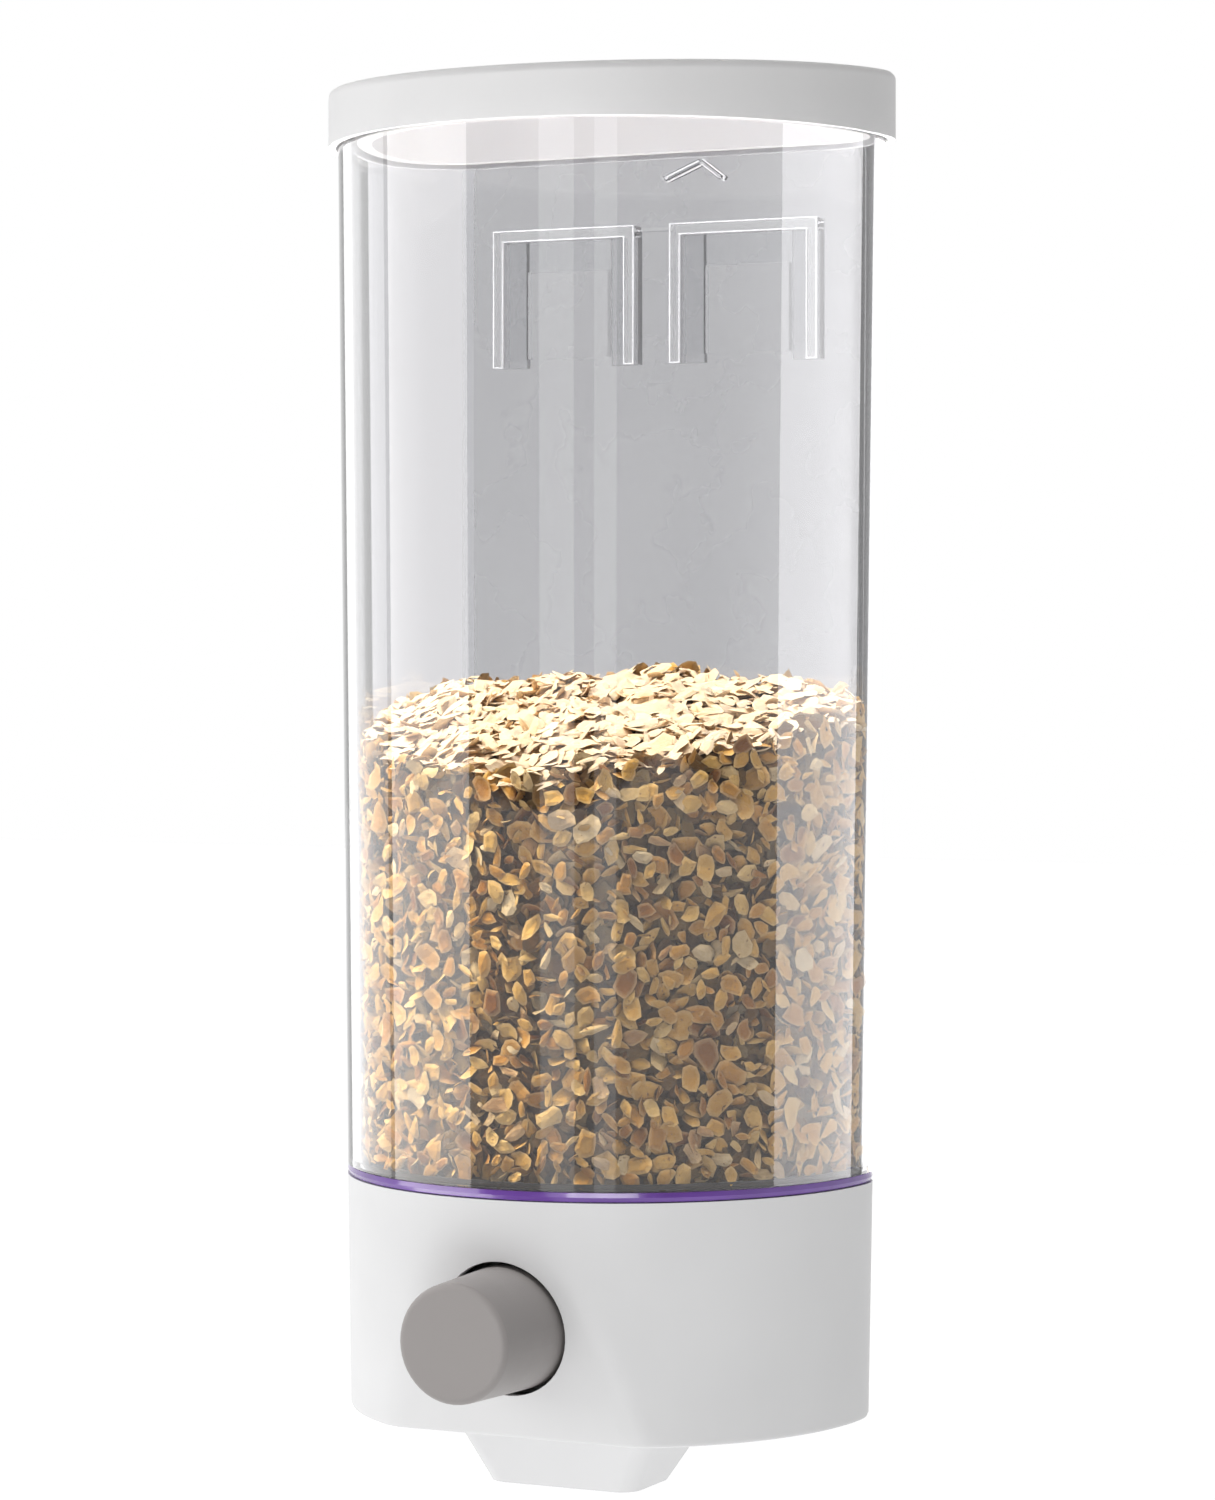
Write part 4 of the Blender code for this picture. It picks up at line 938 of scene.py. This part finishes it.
def softbox(name, place, size, radiance, colour=WHITE, lights=True, shows=True):
    """A rectangular lamp facing the dispenser.

    place is (azimuth, elevation, distance), size is (width, height), and radiance is what a mirror
    would show of it. lights says whether it lights matt surfaces, and shows whether gloss reflects it.
    """
    azimuth, elevation, distance = place
    width, height = size
    data = bpy.data.lights.new(name, "AREA")
    data.shape = "RECTANGLE"
    data.size, data.size_y = width, height
    data.energy = radiance * math.pi * width * height
    data.color = colour
    lamp = link(bpy.data.objects.new(name, data))
    outward = direction(azimuth, elevation)
    lamp.location = AIM + outward * distance
    lamp.rotation_mode = "QUATERNION"
    lamp.rotation_quaternion = outward.to_track_quat("Z", "Y")
    lamp.visible_camera = False
    lamp.visible_transmission = False
    lamp.visible_diffuse = lights
    lamp.visible_glossy = shows
    return lamp


def flag(name, azimuth, material):
    """A black card that only clear plastic shows: it draws dark lines along clear edges."""
    centre = AIM + direction(azimuth) * FLAG_DISTANCE
    side = direction(azimuth + 90) * (FLAG_SIZE[0] / 2)
    up = Vector((0, 0, FLAG_SIZE[1] / 2))
    corners = [centre - side - up, centre + side - up, centre + side + up, centre - side + up]
    mesh = bpy.data.meshes.new(name)
    mesh.from_pydata(corners, [], [(0, 1, 2, 3)])
    mesh.materials.append(material)
    card = link(bpy.data.objects.new(name, mesh))
    for sight in ("camera", "diffuse", "shadow", "glossy"):
        setattr(card, "visible_" + sight, False)


def make_lights():
    """Soft lamps for matt surfaces, two strips that only gloss shows, and two black cards."""
    softbox("key_left", (-64, 20, 0.9), (0.6, 0.8), 1.5, (1.0, 0.995, 0.985), shows=False)
    softbox("top_front", (10, 62, 0.8), (0.45, 0.35), 1.2, (1.0, 0.98, 0.97), shows=False)
    softbox("low_front", (30, -32, 0.7), (0.5, 0.3), 1.3, shows=False)
    softbox("streak_left", (1.4, 0, 0.8), (0.20, STRIP_HEIGHT), 1.7, lights=False)
    softbox("streak_middle", (21, 0, 0.9), (0.14, STRIP_HEIGHT), 1.5, lights=False)
    black = stage_material("black_card", (0.004, 0.004, 0.004)).material
    behind = CAMERA_AZIMUTH + 180
    flag("flag_left", behind + FLAG_ANGLE, black)
    flag("flag_right", behind - FLAG_ANGLE, black)


def light_only(name, pieces, *placing, through=False, **settings):
    """A lamp that lights these pieces alone. through lets it shine through all the others."""
    group = bpy.data.collections.new(name)
    for piece in pieces:
        group.objects.link(piece)
    lamp = softbox(name, *placing, **settings)
    lamp.light_linking.receiver_collection = group
    if through:
        lamp.light_linking.blocker_collection = group


def reflect_in(name, pieces, azimuth, distance, size, radiance, colour=WHITE):
    """A strip that only these pieces reflect."""
    light_only(name, pieces, (azimuth, 0, distance), size, radiance, colour, lights=False)


def shine_on(name, pieces, place, size, radiance, colour=WHITE, through=True):
    """A lamp that lights only these pieces' matt surfaces."""
    light_only(name, pieces, place, (size, size), radiance, colour, shows=False, through=through)


def light_pieces(oats, painted_rib_highlights):
    """Lamps for single pieces: the bands in the clear walls, and pieces that would otherwise look dull."""
    clear = [NODES["container"]]
    gasket = [NODES["seam_gasket"]]
    reflect_in("band_left", clear + gasket, -59, 0.7, (0.56, STRIP_HEIGHT), 4.2, (1.0, 0.985, 0.97))
    reflect_in("band_right", clear, 117, 0.7, (0.60, STRIP_HEIGHT), 4.7, (0.985, 0.975, 1.0))
    reflect_in("edge_left", clear, -105, 0.7, (0.55, STRIP_HEIGHT), 2.0)
    reflect_in("edge_right", clear, 172, 0.7, (0.55, STRIP_HEIGHT), 3.0)
    reflect_in("gasket_lamp", gasket, 19.5, 0.8, (0.46, 1.0), 8.0)
    shine_on("oats_lamp", oats, (-64, 40, 0.8), 0.16, 104.0, (1.0, 0.89, 0.68))
    shine_on("oats_top_lamp", oats, (-20, 76, 0.8), 0.3, 30.0, (1.0, 0.98, 0.95))
    # a small lamp just in front of the base, which shines up at the lid's underside
    upward = {"shows": False, "through": True}
    light_only("lid_lamp", [NODES["lid"]], (10, -55, 0.1), (0.08, 0.06), 45.0, (1.0, 0.985, 0.98), **upward)
    # a lamp that lights only the painted highlight lines along the ribs
    shine_on("rib_lamp", painted_rib_highlights, (10, 20, 0.8), 0.5, 17.0)
    shine_on("button_lamp", [NODES["button_cap"]], (-25, 66, 0.8), 0.3, 13.0, through=False)


def make_world():
    """White for the camera, for gloss and glass brighter from behind, for matt brighter from below and left."""
    made = bpy.data.worlds.new("studio")
    made.use_nodes = True
    tree = made.node_tree
    background = tree.nodes["Background"]
    way = tree.nodes.new("ShaderNodeSeparateXYZ")
    tree.links.new(tree.nodes.new("ShaderNodeTexCoord").outputs["Generated"], way.inputs[0])
    for_gloss = map_range(tree, way.outputs["Y"], (-0.45, 0.10), (0.13, 1.0))
    by_height = map_range(tree, way.outputs["Z"], (-0.5, 0.5), (1.05, 0.43))
    for_matt = tree.nodes.new("ShaderNodeMath")
    for_matt.operation = "MULTIPLY_ADD"
    tree.links.new(way.outputs["X"], for_matt.inputs[0])
    for_matt.inputs[1].default_value = -0.26
    tree.links.new(by_height, for_matt.inputs[2])
    path = tree.nodes.new("ShaderNodeLightPath")
    matt_or_gloss = tree.nodes.new("ShaderNodeMix")
    tree.links.new(path.outputs["Is Diffuse Ray"], matt_or_gloss.inputs[0])
    tree.links.new(for_gloss, matt_or_gloss.inputs[2])
    tree.links.new(for_matt.outputs[0], matt_or_gloss.inputs[3])
    strength = tree.nodes.new("ShaderNodeMix")
    tree.links.new(path.outputs["Is Camera Ray"], strength.inputs[0])
    tree.links.new(matt_or_gloss.outputs[0], strength.inputs[2])
    strength.inputs[3].default_value = 1.0
    tree.links.new(strength.outputs[0], background.inputs["Strength"])
    background.inputs["Color"].default_value = (*WHITE, 1.0)
    bpy.context.scene.world = made


def make_camera():
    """A level camera on the +X side of the front, with a long lens."""
    data = bpy.data.cameras.new("camera")
    data.lens = CAMERA_LENS
    data.sensor_width = CAMERA_SENSOR
    data.shift_y = CAMERA_SHIFT_Y
    data.clip_start, data.clip_end = 0.01, 100.0
    camera = link(bpy.data.objects.new("camera", data))
    camera.location = world(CAMERA_PLACE)
    camera.rotation_euler = (math.radians(90), 0.0, math.radians(CAMERA_AZIMUTH))
    bpy.context.scene.camera = camera


# ---------------------------------------------------------------- everything together


def finishes():
    """A material for each of the record's slots."""
    white = moulded_plastic("white_shell", WHITE_PLASTIC)
    inner = moulded_plastic("inner_shell", (0.74, 0.735, 0.72), rough=(0.42, 0.55))
    grey = moulded_plastic("grey_button", (0.31, 0.29, 0.283), rough=(0.34, 0.46), grain=0.00002)
    clear = clear_plastic("clear_plate", wave=PLATE_WAVE, ior=PLATE_IOR)
    violet = silicone("violet_gasket", (0.19, 0.075, 0.42))
    pale = silicone("pale_seal", (0.78, 0.77, 0.74), rough=(0.35, 0.5), coat=0.1, passing=0.0)
    film = clear_plastic("adhesive_film", (0.93, 0.93, 0.92), (0.2, 0.35), wave=PLATE_WAVE, ior=PLATE_IOR)
    return {
        "white_plastic": white,
        "inner_plastic": inner,
        "grey_plastic": grey,
        "clear_plastic": clear,
        "violet_silicone": violet,
        "pale_silicone": pale,
        "steel": steel(),
        "adhesive_film": film,
        "bumper_rubber": moulded_plastic("bumper_rubber", (0.10, 0.10, 0.10), rough=(0.6, 0.8)),
    }


def dress_nodes(finish):
    """Gives every CAD node smooth shading and a finished material."""
    lid = moulded_plastic("white_lid", WHITE_PLASTIC)
    lid.translucent(LID_GLOW, LID_GLOW_SHARE)
    container = clear_plastic("clear_container", CONTAINER_TINT, ribs_from=RIBS_FROM_DEPTH)
    own = {"container": container, "lid": lid}
    tree = smoothing_tree(SHARP_ANGLE)
    for name, node in NODES.items():
        for holder in node.material_slots:
            surface = own.get(name) or finish[holder.material.name.split(".")[0]]
            holder.material = surface.material
        smooth_node(node, tree)


def main():
    scene = bpy.context.scene
    scene.view_settings.view_transform = "Standard"
    make_camera()
    make_world()
    make_lights()
    make_floor(stage_material("floor", (0.92, 0.92, 0.92), glow=0.60).material)
    finish = finishes()
    dress_nodes(finish)
    make_spring(finish["steel"].material)
    oats = make_oats(
        oat_material("oat_flakes", 0.96).material,
        # painted shade: a darker copy of the oat colours for the flakes behind the wall
        oat_material("oat_flakes_painted_shade", 0.32).material,
        # painted light: paler colours and lighter gaps for the flakes on the heap's top
        oat_material("oat_flakes_on_top", painted_light_share=0.62, painted_gap_shade=(0.72, 0.63, 0.52)).material,
        core_material().material,
    )
    # white tubes that paint highlight lines along the ribs' edges
    edges = make_painted_rib_highlights(moulded_plastic("rib_edge", (0.90, 0.90, 0.91)).material)
    light_pieces(oats, edges)


main()
